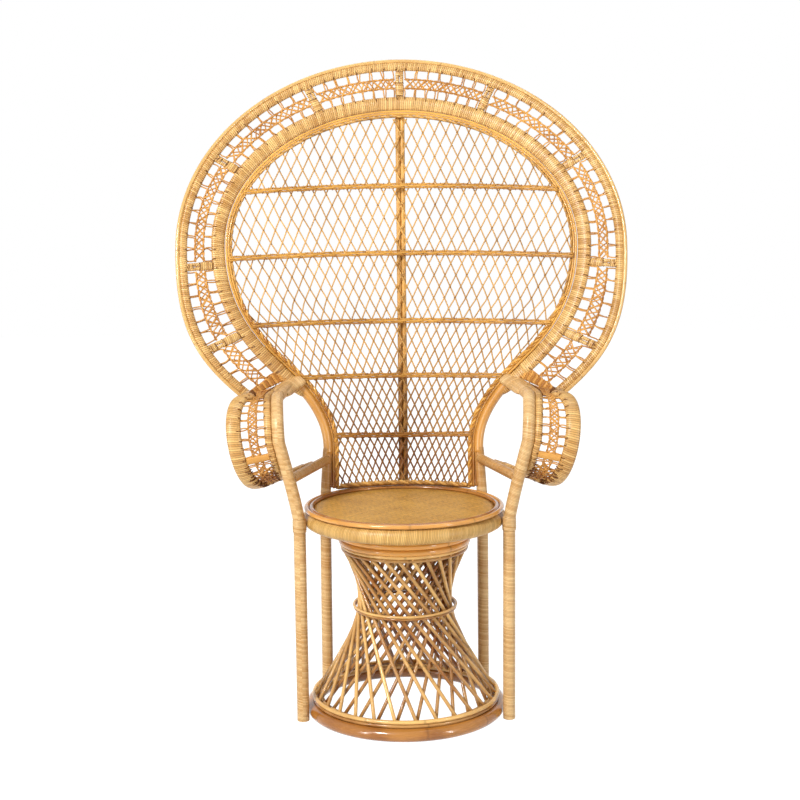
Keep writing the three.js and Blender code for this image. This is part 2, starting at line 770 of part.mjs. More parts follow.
// Heights at which every strand bends, closer together down the curved neck
function strandLevels() {
  const levels = [];
  for (let z = trimBottom; z < openingTopHeight;) {
    levels.push(z);
    z += neckStrandStep + strandStepShare * (z - trimBottom);
  }
  return levels;
}

// One layer of the diamond lattice, fused to the trim rod that its strands are tied to
function latticeLayer(sign) {
  const polygon = openingPolygon();
  const lean = sign * diamondWidth / diamondHeight;
  const shift = strandLayerGap / 2 + strandRadius * Math.cos(Math.PI / strandSides);
  const forward = sign * shift;
  const section = roundSection(strandRadius, strandSides);
  const feet = polygon.map((p) => p.x - lean * p.y);
  const first = Math.ceil(Math.min(...feet) / diamondWidth);
  const last = Math.floor(Math.max(...feet) / diamondWidth);
  const bodies = [closedTrim(sign * trimDepth)];
  const levels = strandLevels();
  for (let k = first; k <= last; k += 1) {
    const foot = k * diamondWidth;
    const heights = crossings(polygon, foot, lean);
    for (let i = 0; i + 1 < heights.length; i += 2) {
      const rise = heights[i + 1] - heights[i];
      if (rise > shortStrandShare * diamondHeight) {
        const inside = levels.filter((z) => z > heights[i] + strandRadius && z < heights[i + 1] - strandRadius);
        const points = [heights[i], ...inside, heights[i + 1]].map((z) => onBack(foot + lean * z, z, forward));
        const facings = points.map((p) => backFacing(p.x, p.z).multiplyScalar(-sign));
        bodies.push(sweep(points, section, facings));
      }
    }
  }
  return joined(bodies);
}

function addLattice() {
  addPiece('lattice_front', latticeLayer(1), colours.lattice);
  addPiece('lattice_rear', latticeLayer(-1), colours.lattice);
  const behind = -(trimDepth + trimRadius + clearance + stakeThickness / 2);
  const ends = [trimBottom, openingTopHeight + innerBandInset / 2].map((height) => onBack(0, height, behind));
  const section = bandOutlineShares.map(([across, up]) => [up * stakeThickness, across * stakeWidth]);
  addPiece('centre_stake', sweep(ends, section, new THREE.Vector3(0, -1, 0)), colours.pole);
}

function openingReach(height) {
  const polygon = openingPolygon().filter((point) => point.x > 0);
  const i = polygon.findIndex((point, j) => j > 0 && point.y <= height && polygon[j - 1].y > height);
  const [above, below] = [polygon[i - 1], polygon[i]];
  return THREE.MathUtils.mapLinear(height, above.y, below.y, above.x, below.x);
}

// Arched bars of joined canes lie over the lattice and the trim
function addCrossbars() {
  const forward = trimDepth + trimRadius + barClearance + barThickness / 2;
  const section = bandOutlineShares.map(([along, up]) => [up * barThickness, along * barHeight]);
  const heights = barPlaceShares.map((share) => THREE.MathUtils.lerp(trimBottom, openingTopHeight, share));
  heights.forEach((height, n) => {
    const reach = openingReach(height) + barOverlap;
    const arch = barRise * (height - innerEndHeight) / (heights[0] - innerEndHeight);
    const points = [];
    for (let i = 0; i <= barSteps; i += 1) {
      const x = reach * (2 * i / barSteps - 1);
      points.push(onBack(x, height + arch * (1 - (x / reach) ** 2), forward));
    }
    const facings = points.map((point) => backFacing(point.x, point.z));
    addPiece(`crossbar_${n + 1}`, sweep(points, section, facings), colours.rod);
  });
}

// Outer and inner edges of the right arm at a turn round its scroll, from the top to the bottom
function armEdgesAt(turn) {
  const outer = new THREE.Vector3(
    armOuterX + armOuterFlare * Math.sin(turn) ** armFlareShare - armOuterTuck * (1 - Math.cos(turn)) / 2,
    armCurlDepth - armCurlRadius * Math.sin(turn),
    armTopHeight - armCurlRadius * (1 - Math.cos(turn)));
  const inner = postCurl(turn);
  if (inner.z < postTopHeight) inner.x = postAt(inner.z).x;
  inner.x += legReach + railGap;
  return { outer, inner };
}

function onBackFront(x, z) {
  return new THREE.Vector3(x, backDepth(x, z) + armStandOff / backFacing(x, z).y, z);
}

function armStations() {
  const start = {
    outer: onBackFront(borderEndX, armTopHeight - armStartDrop),
    inner: onBackFront(armPostStartX + legReach + railGap, armTopHeight - armPostStartDrop),
  };
  const top = armEdgesAt(0);
  const bottom = armEdgesAt(Math.PI);
  const railAt = sideRailPoint(armReturnDepth);
  const end = { inner: railAt.clone().add(new THREE.Vector3(sideRailReach + clearance, 0, 0)) };
  end.outer = end.inner.clone().add(new THREE.Vector3(armReturnSpread, 0, -armReturnSag));
  const list = [];
  const blend = (from, to, share) => ({
    outer: from.outer.clone().lerp(to.outer, share), inner: from.inner.clone().lerp(to.inner, share),
  });
  for (let j = 0; j < armRunSteps; j += 1) list.push(blend(start, top, j / armRunSteps));
  for (let j = 0; j < armCurlSteps; j += 1) list.push(armEdgesAt(Math.PI * j / armCurlSteps));
  for (let j = 0; j <= armReturnSteps; j += 1) list.push(blend(bottom, end, j / armReturnSteps));
  list.forEach((station, i) => {
    const before = list[Math.max(i - 1, 0)];
    const after = list[Math.min(i + 1, list.length - 1)];
    const run = after.outer.clone().add(after.inner).sub(before.outer).sub(before.inner);
    const across = station.inner.clone().sub(station.outer);
    station.facing = run.cross(across).normalize();
  });
  return list;
}

// The rails narrow where the strip does, on its way back under the arm
function armInnerWidth(strip, i) {
  const { inner, outer } = strip.stations[i];
  return Math.min(armInnerRailWidth, outer.distanceTo(inner) / 3);
}

function armOuterWidth(strip, i) {
  const { inner, outer } = strip.stations[i];
  return Math.min(armRailWidth, outer.distanceTo(inner) / 2 - clearance);
}

function addArms() {
  const strip = new Strip(armStations());
  const last = strip.stations.length - 1;
  const outer = (i) => ({ inset: 0, width: armOuterWidth(strip, i), thickness: armRailThickness });
  const inner = (i) => ({ inset: 0, width: armInnerWidth(strip, i), thickness: armRailThickness });
  addPair('arm_outer_rail', loftBody(bandRings(strip, 0, last, 'outer', outer, bandOutlineShares)), colours.cane);
  addPair('arm_inner_rail', loftBody(bandRings(strip, 0, last, 'inner', inner, bandOutlineShares)), colours.cane);
  const outerInset = (i) => armOuterWidth(strip, i) + clearance;
  const innerInset = (i) => armInnerWidth(strip, i) + clearance;
  const sparInsets = { outer: outerInset, inner: innerInset };
  const insets = { outer: (i) => outerInset(i) + laceRadius, inner: (i) => innerInset(i) + laceRadius };
  const laceEnd = armRunSteps + armCurlSteps;
  const sparFacet = Math.round(armRunSteps + armSparPlaceShare * armCurlSteps);
  const lace = laceBody(strip, laceRadius, strip.lengths[laceEnd], insets);
  addPair('arm_lace', joined([lace, sparBody(strip, sparFacet, sparInsets)]), colours.rod);
}

addBase();
addPedestal();
addSeat();
addLegs();
addBorder();
addNeckPoles();
addTrims();
addLattice();
addCrossbars();
addArms();

// The origin lies under the middle of the whole chair, on the floor
const box = new THREE.Box3().setFromObject(group);
const centre = box.getCenter(new THREE.Vector3());
group.position.set(-centre.x, -centre.y, -box.min.z);

export default group;
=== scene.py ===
"""Looks of a wrapped rattan peacock chair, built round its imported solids.

Sizes in the classes are millimetres in the chair's own frame: x to the right of the front
view, y to the back, z up, with the origin on the floor under the middle of the seat. Only
the finishes and the studio are in metres. Surfaces are worked out with numpy on grids. A
tone is a cane's shade, 0 for the deep colour and 1 for the light one, or past either end.
"""

import logging
import math
from dataclasses import dataclass, field, replace
from enum import Enum
from typing import Callable, Optional, Sequence

import bpy
import numpy as np
from mathutils import Euler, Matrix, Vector


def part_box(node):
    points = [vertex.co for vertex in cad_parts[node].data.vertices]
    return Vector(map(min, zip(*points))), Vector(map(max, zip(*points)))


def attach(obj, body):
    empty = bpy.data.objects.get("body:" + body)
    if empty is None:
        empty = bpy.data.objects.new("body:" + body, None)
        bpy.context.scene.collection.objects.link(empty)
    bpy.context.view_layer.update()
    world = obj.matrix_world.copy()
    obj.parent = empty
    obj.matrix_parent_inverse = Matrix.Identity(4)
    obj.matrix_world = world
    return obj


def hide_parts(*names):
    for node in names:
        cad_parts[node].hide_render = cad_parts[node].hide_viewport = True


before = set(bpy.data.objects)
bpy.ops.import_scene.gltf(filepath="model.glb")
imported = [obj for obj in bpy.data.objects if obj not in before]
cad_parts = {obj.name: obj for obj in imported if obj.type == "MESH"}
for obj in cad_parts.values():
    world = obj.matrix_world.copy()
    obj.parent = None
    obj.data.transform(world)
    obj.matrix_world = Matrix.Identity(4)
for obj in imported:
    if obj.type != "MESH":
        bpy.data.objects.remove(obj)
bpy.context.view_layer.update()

log = logging.getLogger("peacock_chair")
Array = np.ndarray
Amount = float | Array
Node, Tree, Socket = bpy.types.Node, bpy.types.NodeTree, bpy.types.NodeSocket
Outputs, Material = bpy.types.bpy_prop_collection, bpy.types.Material
SIDES = {"right": 1, "left": -1}
METRE = 0.001
UP = (0.0, 0.0, 1.0)
FRONT = (0.0, -1.0, 0.0)


def chair_origin() -> Array:
    """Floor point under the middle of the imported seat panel, in metres in the row frame."""
    low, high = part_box("seat_panel")
    return np.array([(low.x + high.x) / 2, (low.y + high.y) / 2, 0.0])


ORIGIN = chair_origin()


def unit(vectors: Array) -> Array:
    """Each vector divided by its own length."""
    return vectors / np.linalg.norm(vectors, axis=-1, keepdims=True)


def square_to(vectors: Array, run: Array) -> Array:
    """Each vector made square to a unit direction, and one long."""
    return unit(vectors - run * np.sum(vectors * run, axis=-1, keepdims=True))


def stacked(*parts: Amount) -> Array:
    """Numbers and arrays spread to one shape and stacked on a new last axis."""
    return np.stack(np.broadcast_arrays(*parts), axis=-1).astype(float)


def between(start: Array, end: Array, shares: Array) -> Array:
    """Points at (n,) shares of the way from one point to another."""
    return start + (end - start) * shares[:, None]


def on_side(points: Array, side: int) -> Array:
    """Points or directions on a side of the chair: 1 as they are, -1 mirrored across x."""
    return points * np.array([side, 1, 1])


def angles(count: int, first: float = 0.0) -> Array:
    """Even angles round a circle, with the first at a share of a step."""
    return (np.arange(count) + first) * 2 * np.pi / count


def round_axis(radius: Amount, angle: Array, height: Amount) -> Array:
    """Points (radius * cos a, radius * sin a, height) round the chair's axis."""
    return stacked(radius * np.cos(angle), radius * np.sin(angle), height)


def reach_along(points: Array) -> Array:
    """Length of the path up to each point: the running sum of the steps between them.

    Args:
        points: Points of one or more paths, along the last axis but one.

    Returns:
        The length at each point.
    """
    steps = np.linalg.norm(np.diff(points, axis=-2), axis=-1)
    zero = np.zeros(steps.shape[:-1] + (1,))
    return np.concatenate([zero, np.cumsum(steps, axis=-1)], axis=-1)


def read_off(wanted: Array, reach: Array, values: Array) -> Array:
    """Each column of the values at the wanted places along their reach."""
    return np.stack([np.interp(wanted, reach, column) for column in values.T], axis=-1)


def tangents(points: Array, looped: bool) -> Array:
    """Unit direction of a path at each point; the points run along the last axis but one.

    Args:
        points: Points of one or more paths.
        looped: Whether a path closes on itself.

    Returns:
        The directions.
    """
    if looped:
        return unit(np.roll(points, -1, axis=-2) - np.roll(points, 1, axis=-2))
    return unit(np.gradient(points, axis=-2))


def rounded(paths: Array, times: int = 2) -> Array:
    """Cuts the corners of broken lines, at a quarter and three quarters of each side.

    Args:
        paths: (k, p, c) corner points of k lines.
        times: Rounds of cutting.

    Returns:
        (k, q, c) points, with the same ends.
    """
    for _ in range(times):
        near = paths[:, :-1] * 0.75 + paths[:, 1:] * 0.25
        far = paths[:, :-1] * 0.25 + paths[:, 1:] * 0.75
        inner = np.stack([near, far], axis=2).reshape(len(paths), -1, paths.shape[-1])
        paths = np.concatenate([paths[:, :1], inner, paths[:, -1:]], axis=1)
    return paths


@dataclass
class Line:
    """A path in millimetres, and the way that its upper side faces at each point."""

    points: Array
    facing: Array
    looped: bool = False

    @classmethod
    def one_way(cls, points: Array, way: Sequence[float], looped: bool = False) -> "Line":
        """Line whose upper side faces the same way all along."""
        return cls(points, np.tile(way, (len(points), 1)), looped)

    def even(self, step: float) -> "Line":
        """The same path with points an even step apart.

        Args:
            step: Wanted distance between points.

        Returns:
            The new line; a looped one ends one step before its start.
        """
        points, facing = self.points, self.facing
        if self.looped:
            points, facing = (np.vstack([a, a[:1]]) for a in (points, facing))
        reach = reach_along(points)
        count = max(int(round(reach[-1] / step)), 2)
        wanted = np.linspace(0, reach[-1], count + 1)
        if self.looped:
            wanted = wanted[:-1]
        return Line(read_off(wanted, reach, points), unit(read_off(wanted, reach, facing)), self.looped)

    def frames(self) -> tuple[Array, Array]:
        """Directions across and up at each point, square to the path.

        Returns:
            Up crossed with the tangent, and up, which is the facing made square.
        """
        run = tangents(self.points, self.looped)
        up = square_to(self.facing, run)
        return np.cross(up, run), up

    def moved(self, across: Amount = 0.0, up: Amount = 0.0) -> "Line":
        """The line moved sideways in its own frame, by distances or arrays of them.

        Args:
            across: Distance to the side.
            up: Distance along the facing.

        Returns:
            The moved line.
        """
        side, top = self.frames()
        shift = side * np.reshape(across, (-1, 1)) + top * np.reshape(up, (-1, 1))
        return Line(self.points + shift, self.facing, self.looped)

    def flipped(self, side: int) -> "Line":
        """The line on the given side of the chair: 1 as it is, -1 mirrored across x."""
        return Line(on_side(self.points, side), on_side(self.facing, side), self.looped)


@dataclass(frozen=True)
class Winding:
    """Flat cane wound side by side: its ridges across the path, and how they slant."""

    pitch: float
    depth: float
    slant: float
    samples: int = 4

    def groove(self, along: Array, around: Array) -> Array:
        """Depth of the groove at each grid point.

        It is depth * (1 - sqrt(|sin(pi * phase)|)), where the phase is (along + slant *
        around) / pitch.

        Args:
            along: (n,) lengths along.
            around: (m,) lengths round.

        Returns:
            (n, m) depths.
        """
        phase = (along[:, None] + self.slant * around[None, :]) / self.pitch
        return self.depth * (1 - np.sqrt(np.abs(np.sin(np.pi * phase))))

    def divided(self, line: Line) -> Line:
        """The line with as many steps to each turn as the winding has samples."""
        return line.even(self.pitch / self.samples)


@dataclass
class Skin:
    """Closed tubes on a (k, n, m, 3) grid of rings, with a tone for each tube or each ring."""

    grid: Array
    along: Array
    around: Array
    looped: bool = False
    tone: Array = field(default_factory=lambda: np.array([0.5]))


def oval(width: float, height: float, sides: int, squareness: float = 1.0) -> Array:
    """Outline of a rounded section.

    A point at angle a is (width / 2 * c, height / 2 * s), where c and s are the cosine and
    sine of a, each raised to the squareness with its sign kept.

    Args:
        width: Full size across.
        height: Full size upwards.
        sides: Number of points.
        squareness: 1 for an ellipse, less for a boxier section.

    Returns:
        (sides, 2) points.
    """
    circle_points = stacked(np.cos(angles(sides)), np.sin(angles(sides)))
    return np.array([width / 2, height / 2]) * (np.sign(circle_points) * np.abs(circle_points) ** squareness)


def carried(line: Line, outline: Array, winding: Optional[Winding] = None, swell: Optional[Array] = None,
            tone: Amount = 0.5) -> Skin:
    """Outline carried along a line.

    A surface point is the line's point + across * u + up * v, for each outline point
    (u, v), which a winding first draws in towards the middle by its groove.

    Args:
        line: The path, already evenly divided.
        outline: (m, 2) section, or (n, m, 2) where it changes along the path.
        winding: Ridges of wound cane, if the piece is wrapped.
        swell: (n,) share of the outline's size.
        tone: Shade, or one for each ring.

    Returns:
        One tube.
    """
    across, up = line.frames()
    count = len(line.points)
    section = np.broadcast_to(outline, (count,) + outline.shape[-2:]).astype(float)
    around = reach_along(np.vstack([section[0], section[0][:1]]))
    along = reach_along(line.points)
    if swell is not None:
        section = section * np.reshape(swell, (-1, 1, 1))
    if winding is not None:
        size = np.linalg.norm(section, axis=2)
        section = section * (1 - winding.groove(along, around[:-1]) / np.maximum(size, 1))[..., None]
    grid = line.points[:, None] + across[:, None] * section[..., :1] + up[:, None] * section[..., 1:]
    return Skin(grid[None], along[None], around, line.looped, np.reshape(tone, (1, -1)).astype(float))


@dataclass(frozen=True)
class Section:
    """Rounded section of a pole, a rod or a band, plain or wound."""

    width: float
    height: float
    sides: int
    squareness: float = 1.0
    tone: float = 0.5
    winding: Optional[Winding] = None

    def skin(self, line: Line, tone: Optional[Amount] = None, swell: Optional[Array] = None) -> Skin:
        """The section carried along an even line, in its own tone unless another is given."""
        outline = oval(self.width, self.height, self.sides, self.squareness)
        return carried(line, outline, self.winding, swell, self.tone if tone is None else tone)

    def wound(self, line: Line) -> Skin:
        """The section carried along a line that is first divided by its winding."""
        return self.skin(self.winding.divided(line))

    def band(self, line: Line, width: Array) -> Skin:
        """The section carried along a line, with another width at each point of it.

        Args:
            line: Middle line of the band.
            width: Its width at each point.

        Returns:
            The band's skin.
        """
        even, reach = self.winding.divided(line), reach_along(line.points)
        wide = np.interp(np.linspace(0, reach[-1], len(even.points)), reach, width)
        outline = oval(1, 1, self.sides, self.squareness) * stacked(wide, self.height)[:, None]
        return carried(even, outline, self.winding)


def pole(thickness: float, sides: int, tone: float = 0.5, winding: Optional[Winding] = None) -> Section:
    """Round section."""
    return Section(thickness, thickness, sides, tone=tone, winding=winding)


def tubes(paths: Array, facing: Array, radius: Amount, sides: int, tone: Array, looped: bool = False) -> Skin:
    """Round canes of one thickness along many paths at once.

    A surface point is path + radius * (cos a * across + sin a * up), with across and up
    square to the path.

    Args:
        paths: (k, n, 3) points of k paths.
        facing: Directions that broadcast to the paths.
        radius: Radius of the canes, or (k, n) radii.
        sides: Points round each cane.
        tone: (k,) or (k, n) shades.
        looped: Whether each path closes on itself.

    Returns:
        k tubes.
    """
    run = tangents(paths, looped)
    up = square_to(np.broadcast_to(facing, paths.shape), run)
    across, angle = np.cross(up, run), angles(sides)
    ring = across[:, :, None] * np.cos(angle)[:, None] + up[:, :, None] * np.sin(angle)[:, None]
    grid = paths[:, :, None] + np.reshape(radius, np.shape(radius) + (1, 1)) * ring
    around = np.arange(sides + 1) * 2 * np.pi * float(np.mean(radius)) / sides
    return Skin(grid, reach_along(paths), around, looped, np.asarray(tone, float))


@dataclass(frozen=True)
class Rope:
    """Strands laid round each other, one for each tone."""

    radius: float
    wide: float
    pitch: float
    tones: tuple[float, ...]

    def skins(self, line: Line) -> list[Skin]:
        """Strands round an evenly divided line.

        Strand s of n runs at the angle 2 pi (length / pitch + s / n) round the line, at the
        distance wide from it. On a looped line the number of turns is a whole one.

        Args:
            line: Middle line.

        Returns:
            One tube for each strand.
        """
        reach = reach_along(line.points)
        whole = reach[-1] + (np.linalg.norm(line.points[0] - line.points[-1]) if line.looped else 0)
        turns = round(whole / self.pitch) if line.looped else whole / self.pitch
        made = []
        for strand, tone in enumerate(self.tones):
            angle = 2 * np.pi * (turns * reach / whole + strand / len(self.tones))
            path = line.moved(self.wide * np.cos(angle), self.wide * np.sin(angle))
            made.append(pole(2 * self.radius, 7, tone).skin(path))
        return made


def circle(radius: float, height: float, count: int = 180) -> Line:
    """Level circle round the chair's axis, facing upwards."""
    return Line.one_way(round_axis(radius, angles(count), height), UP, True)


class Slot(Enum):
    """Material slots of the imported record."""

    CANE = "wrapped_cane"
    POLE = "rattan_pole"
    ROD = "rattan_rod"
    LATTICE = "lattice_cane"
    SEAT = "woven_seat"


@dataclass(frozen=True)
class Finish:
    """A material, and a slot of the imported record."""

    material: Material
    slot: Slot


def triangles_of(skin: Skin) -> tuple[Array, Array]:
    """Corners of a skin's quads and of its end caps.

    Args:
        skin: The tubes.

    Returns:
        (q, 4) and (c, m) indices into the flat grid.
    """
    k, n, m = skin.grid.shape[:3]
    here = np.arange(k * n * m).reshape(k, n, m)
    beside = np.roll(here, -1, axis=2)
    quads = np.stack([here, beside, np.roll(beside, -1, axis=1), np.roll(here, -1, axis=1)], axis=-1)
    if skin.looped:
        return quads.reshape(-1, 4), np.zeros((0, m), int)
    return quads[:, :-1].reshape(-1, 4), np.concatenate([here[:, 0, ::-1], here[:, -1]], axis=0)


def surface_places(skin: Skin) -> tuple[Array, Array]:
    """Places on the surface of the corners of quads and caps.

    Args:
        skin: The tubes.

    Returns:
        (length along, length round) of the quads' and of the caps' corners, in metres.
    """
    k, n, m = skin.grid.shape[:3]
    along, around = skin.along, skin.around
    if skin.looped:
        gap = np.linalg.norm(skin.grid[:, 0].mean(axis=1) - skin.grid[:, -1].mean(axis=1), axis=1)
        along = np.concatenate([along, along[:, -1:] + gap[:, None]], axis=1)
    low, high = along[:, :-1], along[:, 1:]
    u = np.stack([low, low, high, high], axis=-1)[:, :, None]
    v = np.stack([around[:-1], around[1:], around[1:], around[:-1]], axis=-1)
    quads = stacked(u, v).reshape(-1, 2)
    if skin.looped:
        return quads * METRE, np.zeros((0, 2))
    ends = np.concatenate([along[:, 0], along[:, -1]])
    return quads * METRE, stacked(ends[:, None], around[:-1]).reshape(-1, 2) * METRE


def faced_out(skin: Skin) -> Skin:
    """The skin with its points round each ring in the order that faces outwards.

    The volume under each quad, summed from the tube's own middle, tells the order.

    Args:
        skin: The skin as it was laid out.

    Returns:
        The skin, or one with its rings turned round.
    """
    quads, _ = triangles_of(skin)
    flat = (skin.grid - skin.grid.mean(axis=(1, 2), keepdims=True)).reshape(-1, 3)
    a, b, c, d = (flat[quads[:, i]] for i in range(4))
    volume = np.einsum("ij,ij->", a, np.cross(b, c)) + np.einsum("ij,ij->", a, np.cross(c, d))
    if volume > 0:
        return skin
    return replace(skin, grid=skin.grid[:, :, ::-1], around=skin.around[-1] - skin.around[::-1])


def mesh_of(name: str, skins: Sequence[Skin]) -> bpy.types.Mesh:
    """Puts skins into one mesh, with a surface map and the tone of each point.

    Args:
        name: Name of the mesh.
        skins: Its tubes.

    Returns:
        The mesh, in metres.
    """
    corners, places, starts, smooth, points, tones = [], [], [], [], [], []
    base = loops = 0
    for skin in (faced_out(skin) for skin in skins):
        k, n, m = skin.grid.shape[:3]
        for faces, spots, soft in zip(triangles_of(skin), surface_places(skin), (True, False)):
            corners.append(faces.ravel() + base)
            places.append(spots)
            starts.append(loops + np.arange(len(faces)) * faces.shape[1])
            smooth.append(np.full(len(faces), soft))
            loops += faces.size
        points.append(skin.grid.reshape(-1, 3))
        tones.append(np.repeat(np.broadcast_to(skin.tone.reshape(k, -1), (k, n)).ravel(), m))
        base += k * n * m
    mesh = bpy.data.meshes.new(name)
    mesh.vertices.add(base)
    mesh.vertices.foreach_set("co", (np.concatenate(points) * METRE + ORIGIN).astype(np.float32).ravel())
    mesh.loops.add(loops)
    mesh.loops.foreach_set("vertex_index", np.concatenate(corners).astype(np.int32))
    first = np.concatenate(starts).astype(np.int32)
    mesh.polygons.add(len(first))
    mesh.polygons.foreach_set("loop_start", first)
    mesh.polygons.foreach_set("use_smooth", np.concatenate(smooth))
    mesh.update(calc_edges=True)
    layer = mesh.uv_layers.new(name="surface")
    layer.data.foreach_set("uv", np.concatenate(places).astype(np.float32).ravel())
    shade = mesh.attributes.new("tone", "FLOAT", "POINT")
    shade.data.foreach_set("value", np.concatenate(tones).astype(np.float32))
    return mesh


def make_piece(name: str, skins: Sequence[Skin], finish: Finish, *nodes: str) -> None:
    """Makes one object that rides on the chair.

    Args:
        name: Name of the piece.
        skins: Its tubes.
        finish: Its material and slot.
        nodes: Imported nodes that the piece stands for.
    """
    mesh = mesh_of(name, skins)
    mesh.materials.append(finish.material)
    piece = bpy.data.objects.new(name, mesh)
    bpy.context.scene.collection.objects.link(piece)
    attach(piece, "root")
    if nodes:
        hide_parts(*nodes)
    known = ", ".join(nodes) or "no node"
    log.info("%s: about %d triangles, stands for %s", name, 2 * len(mesh.vertices), known)


class Graph:
    """A node tree that is wired in code."""

    def __init__(self, tree: Tree) -> None:
        """Keeps the tree."""
        self.tree = tree

    def fill(self, node: Node, inputs: dict) -> None:
        """Sets a node's inputs by name or number: values as they are, sockets as links.

        Args:
            node: The node.
            inputs: Its values or sockets.
        """
        for key, value in inputs.items():
            if isinstance(value, Socket):
                self.tree.links.new(value, node.inputs[key])
            else:
                node.inputs[key].default_value = value

    def add(self, kind: str, inputs: dict, **settings: object) -> Node:
        """Adds one node.

        Args:
            kind: Blender's name of the node.
            inputs: Values or other nodes' outputs, by name or number.
            settings: Properties of the node.

        Returns:
            The node.
        """
        node = self.tree.nodes.new(kind)
        for key, value in settings.items():
            setattr(node, key, value)
        self.fill(node, inputs)
        return node

    def math(self, operation: str, *values: object) -> Socket:
        """Result of one sum on numbers or sockets."""
        return self.add("ShaderNodeMath", dict(enumerate(values)), operation=operation).outputs[0]

    def group(self, tree: Tree, **inputs: object) -> Outputs:
        """Outputs of a shader group with the given inputs."""
        return self.add("ShaderNodeGroup", inputs, node_tree=tree).outputs

    def parts(self, vector: object) -> Outputs:
        """The x, y and z of a vector."""
        return self.add("ShaderNodeSeparateXYZ", {0: vector}).outputs

    def drawn_lot(self, number: object) -> Socket:
        """Random value, 0 to 1, that belongs to a number."""
        return self.add("ShaderNodeTexWhiteNoise", {"W": number}, noise_dimensions="1D").outputs[0]

    def arches(self, value: object) -> Socket:
        """An arch over each whole step of a value: the absolute sine of pi times the value."""
        return self.math("ABSOLUTE", self.math("SINE", self.math("MULTIPLY", value, math.pi)))

    def scaled(self, vector: object, scale: tuple) -> Socket:
        """A vector multiplied by another."""
        return self.add("ShaderNodeVectorMath", {0: vector, 1: scale}, operation="MULTIPLY").outputs[0]

    def mixed(self, share: object, low: object, high: object) -> Socket:
        """Colour at a share of the way from one colour to another."""
        return self.add("ShaderNodeMix", {0: share, 6: low, 7: high}, data_type="RGBA").outputs[2]

    def tinted(self, colour: object, mask: object, strength: float, tint: tuple) -> Socket:
        """The colour drawn towards a tint where the mask is 1."""
        return self.mixed(self.math("MULTIPLY", mask, strength), colour, tint)

    def noise(self, vector: object, scale: float, detail: float) -> Socket:
        """Soft noise at a vector."""
        return self.add("ShaderNodeTexNoise", {"Vector": vector, "Scale": scale, "Detail": detail}).outputs[0]

    def spread(self, value: object, low: float, high: float) -> Socket:
        """A value mapped smoothly from low and high to 0 and 1."""
        inputs = {"Value": value, "From Min": low, "From Max": high}
        return self.add("ShaderNodeMapRange", inputs, interpolation_type="SMOOTHSTEP").outputs[0]

    def spot(self) -> Socket:
        """Place in the chair, in metres."""
        return self.add("ShaderNodeTexCoord", {}).outputs["Object"]


def new_group(name: str, vectors: str, numbers: str, outputs: str) -> tuple[Graph, Outputs, Node]:
    """Empty shader group with named sockets.

    Args:
        name: Name of the group.
        vectors: Names of its vector inputs, with spaces between.
        numbers: Names of its number inputs.
        outputs: Names of its outputs, all numbers.

    Returns:
        Its graph, its inputs and the output node.
    """
    tree = bpy.data.node_groups.new(name, "ShaderNodeTree")
    for labels, way, kind in ((vectors, "INPUT", "NodeSocketVector"), (numbers, "INPUT", "NodeSocketFloat"),
                              (outputs, "OUTPUT", "NodeSocketFloat")):
        for label in labels.split():
            tree.interface.new_socket(label, in_out=way, socket_type=kind)
    return Graph(tree), tree.nodes.new("NodeGroupInput").outputs, tree.nodes.new("NodeGroupOutput")


@dataclass
class Effects:
    """Shader groups that several finishes share, each built once."""

    turn_fullness: float = 0.55
    fibre_scale: tuple = (60.0, 1400.0, 1.0)
    fibre_range: tuple = (0.3, 0.7)
    cloud_scale: float = 11.0
    cloud_range: tuple = (0.36, 0.64)
    detail: float = 3.0
    joint_shift: tuple = (0.6, 0.2)

    def __post_init__(self) -> None:
        """Builds the groups."""
        self.turns = self.build_turns()
        self.grain = self.build_grain()
        self.joints = self.build_joints()

    def build_turns(self) -> Tree:
        """Turns of wound cane on a surface map.

        The turn number is (along + slant * around) / pitch; its whole part picks a tone,
        and the absolute sine of pi times it, raised to the fullness, is the height.

        Returns:
            The group: Place, Pitch and Slant in; Tone and Height out.
        """
        graph, given, end = new_group("turns of wound cane", "Place", "Pitch Slant", "Tone Height")
        parts = graph.parts(given["Place"])
        run = graph.math("MULTIPLY_ADD", parts[1], given["Slant"], parts[0])
        turn = graph.math("DIVIDE", run, given["Pitch"])
        graph.fill(end, {"Tone": graph.drawn_lot(graph.math("FLOOR", turn)),
                         "Height": graph.math("POWER", graph.arches(turn), self.turn_fullness)})
        return graph.tree

    def build_grain(self) -> Tree:
        """Fibres along a cane and cloudy patches over it.

        Returns:
            The group: Place and Spot in; Fibre and Cloud out, each 0 to 1.
        """
        graph, given, end = new_group("rattan grain", "Place Spot", "", "Fibre Cloud")
        fibre = graph.noise(graph.scaled(given["Place"], self.fibre_scale), 1.0, self.detail)
        cloud = graph.noise(given["Spot"], self.cloud_scale, self.detail)
        graph.fill(end, {"Fibre": graph.spread(fibre, *self.fibre_range),
                         "Cloud": graph.spread(cloud, *self.cloud_range)})
        return graph.tree

    def build_joints(self) -> Tree:
        """Dark joint rings of a rattan pole, one in each stretch of a given length.

        Returns:
            The group: Place, Length and Width in; Ring out, 1 on a ring.
        """
        graph, given, end = new_group("pole joints", "Place", "Length Width", "Ring")
        step = graph.math("DIVIDE", graph.parts(given["Place"])[0], given["Length"])
        middle = graph.math("MULTIPLY_ADD", graph.drawn_lot(graph.math("FLOOR", step)), *self.joint_shift)
        away = graph.math("ABSOLUTE", graph.math("SUBTRACT", graph.math("FRACT", step), middle))
        near = graph.math("DIVIDE", graph.math("MULTIPLY", away, given["Length"]), given["Width"])
        graph.fill(end, {"Ring": graph.math("SUBTRACT", 1.0, graph.math("MINIMUM", near, 1.0))})
        return graph.tree


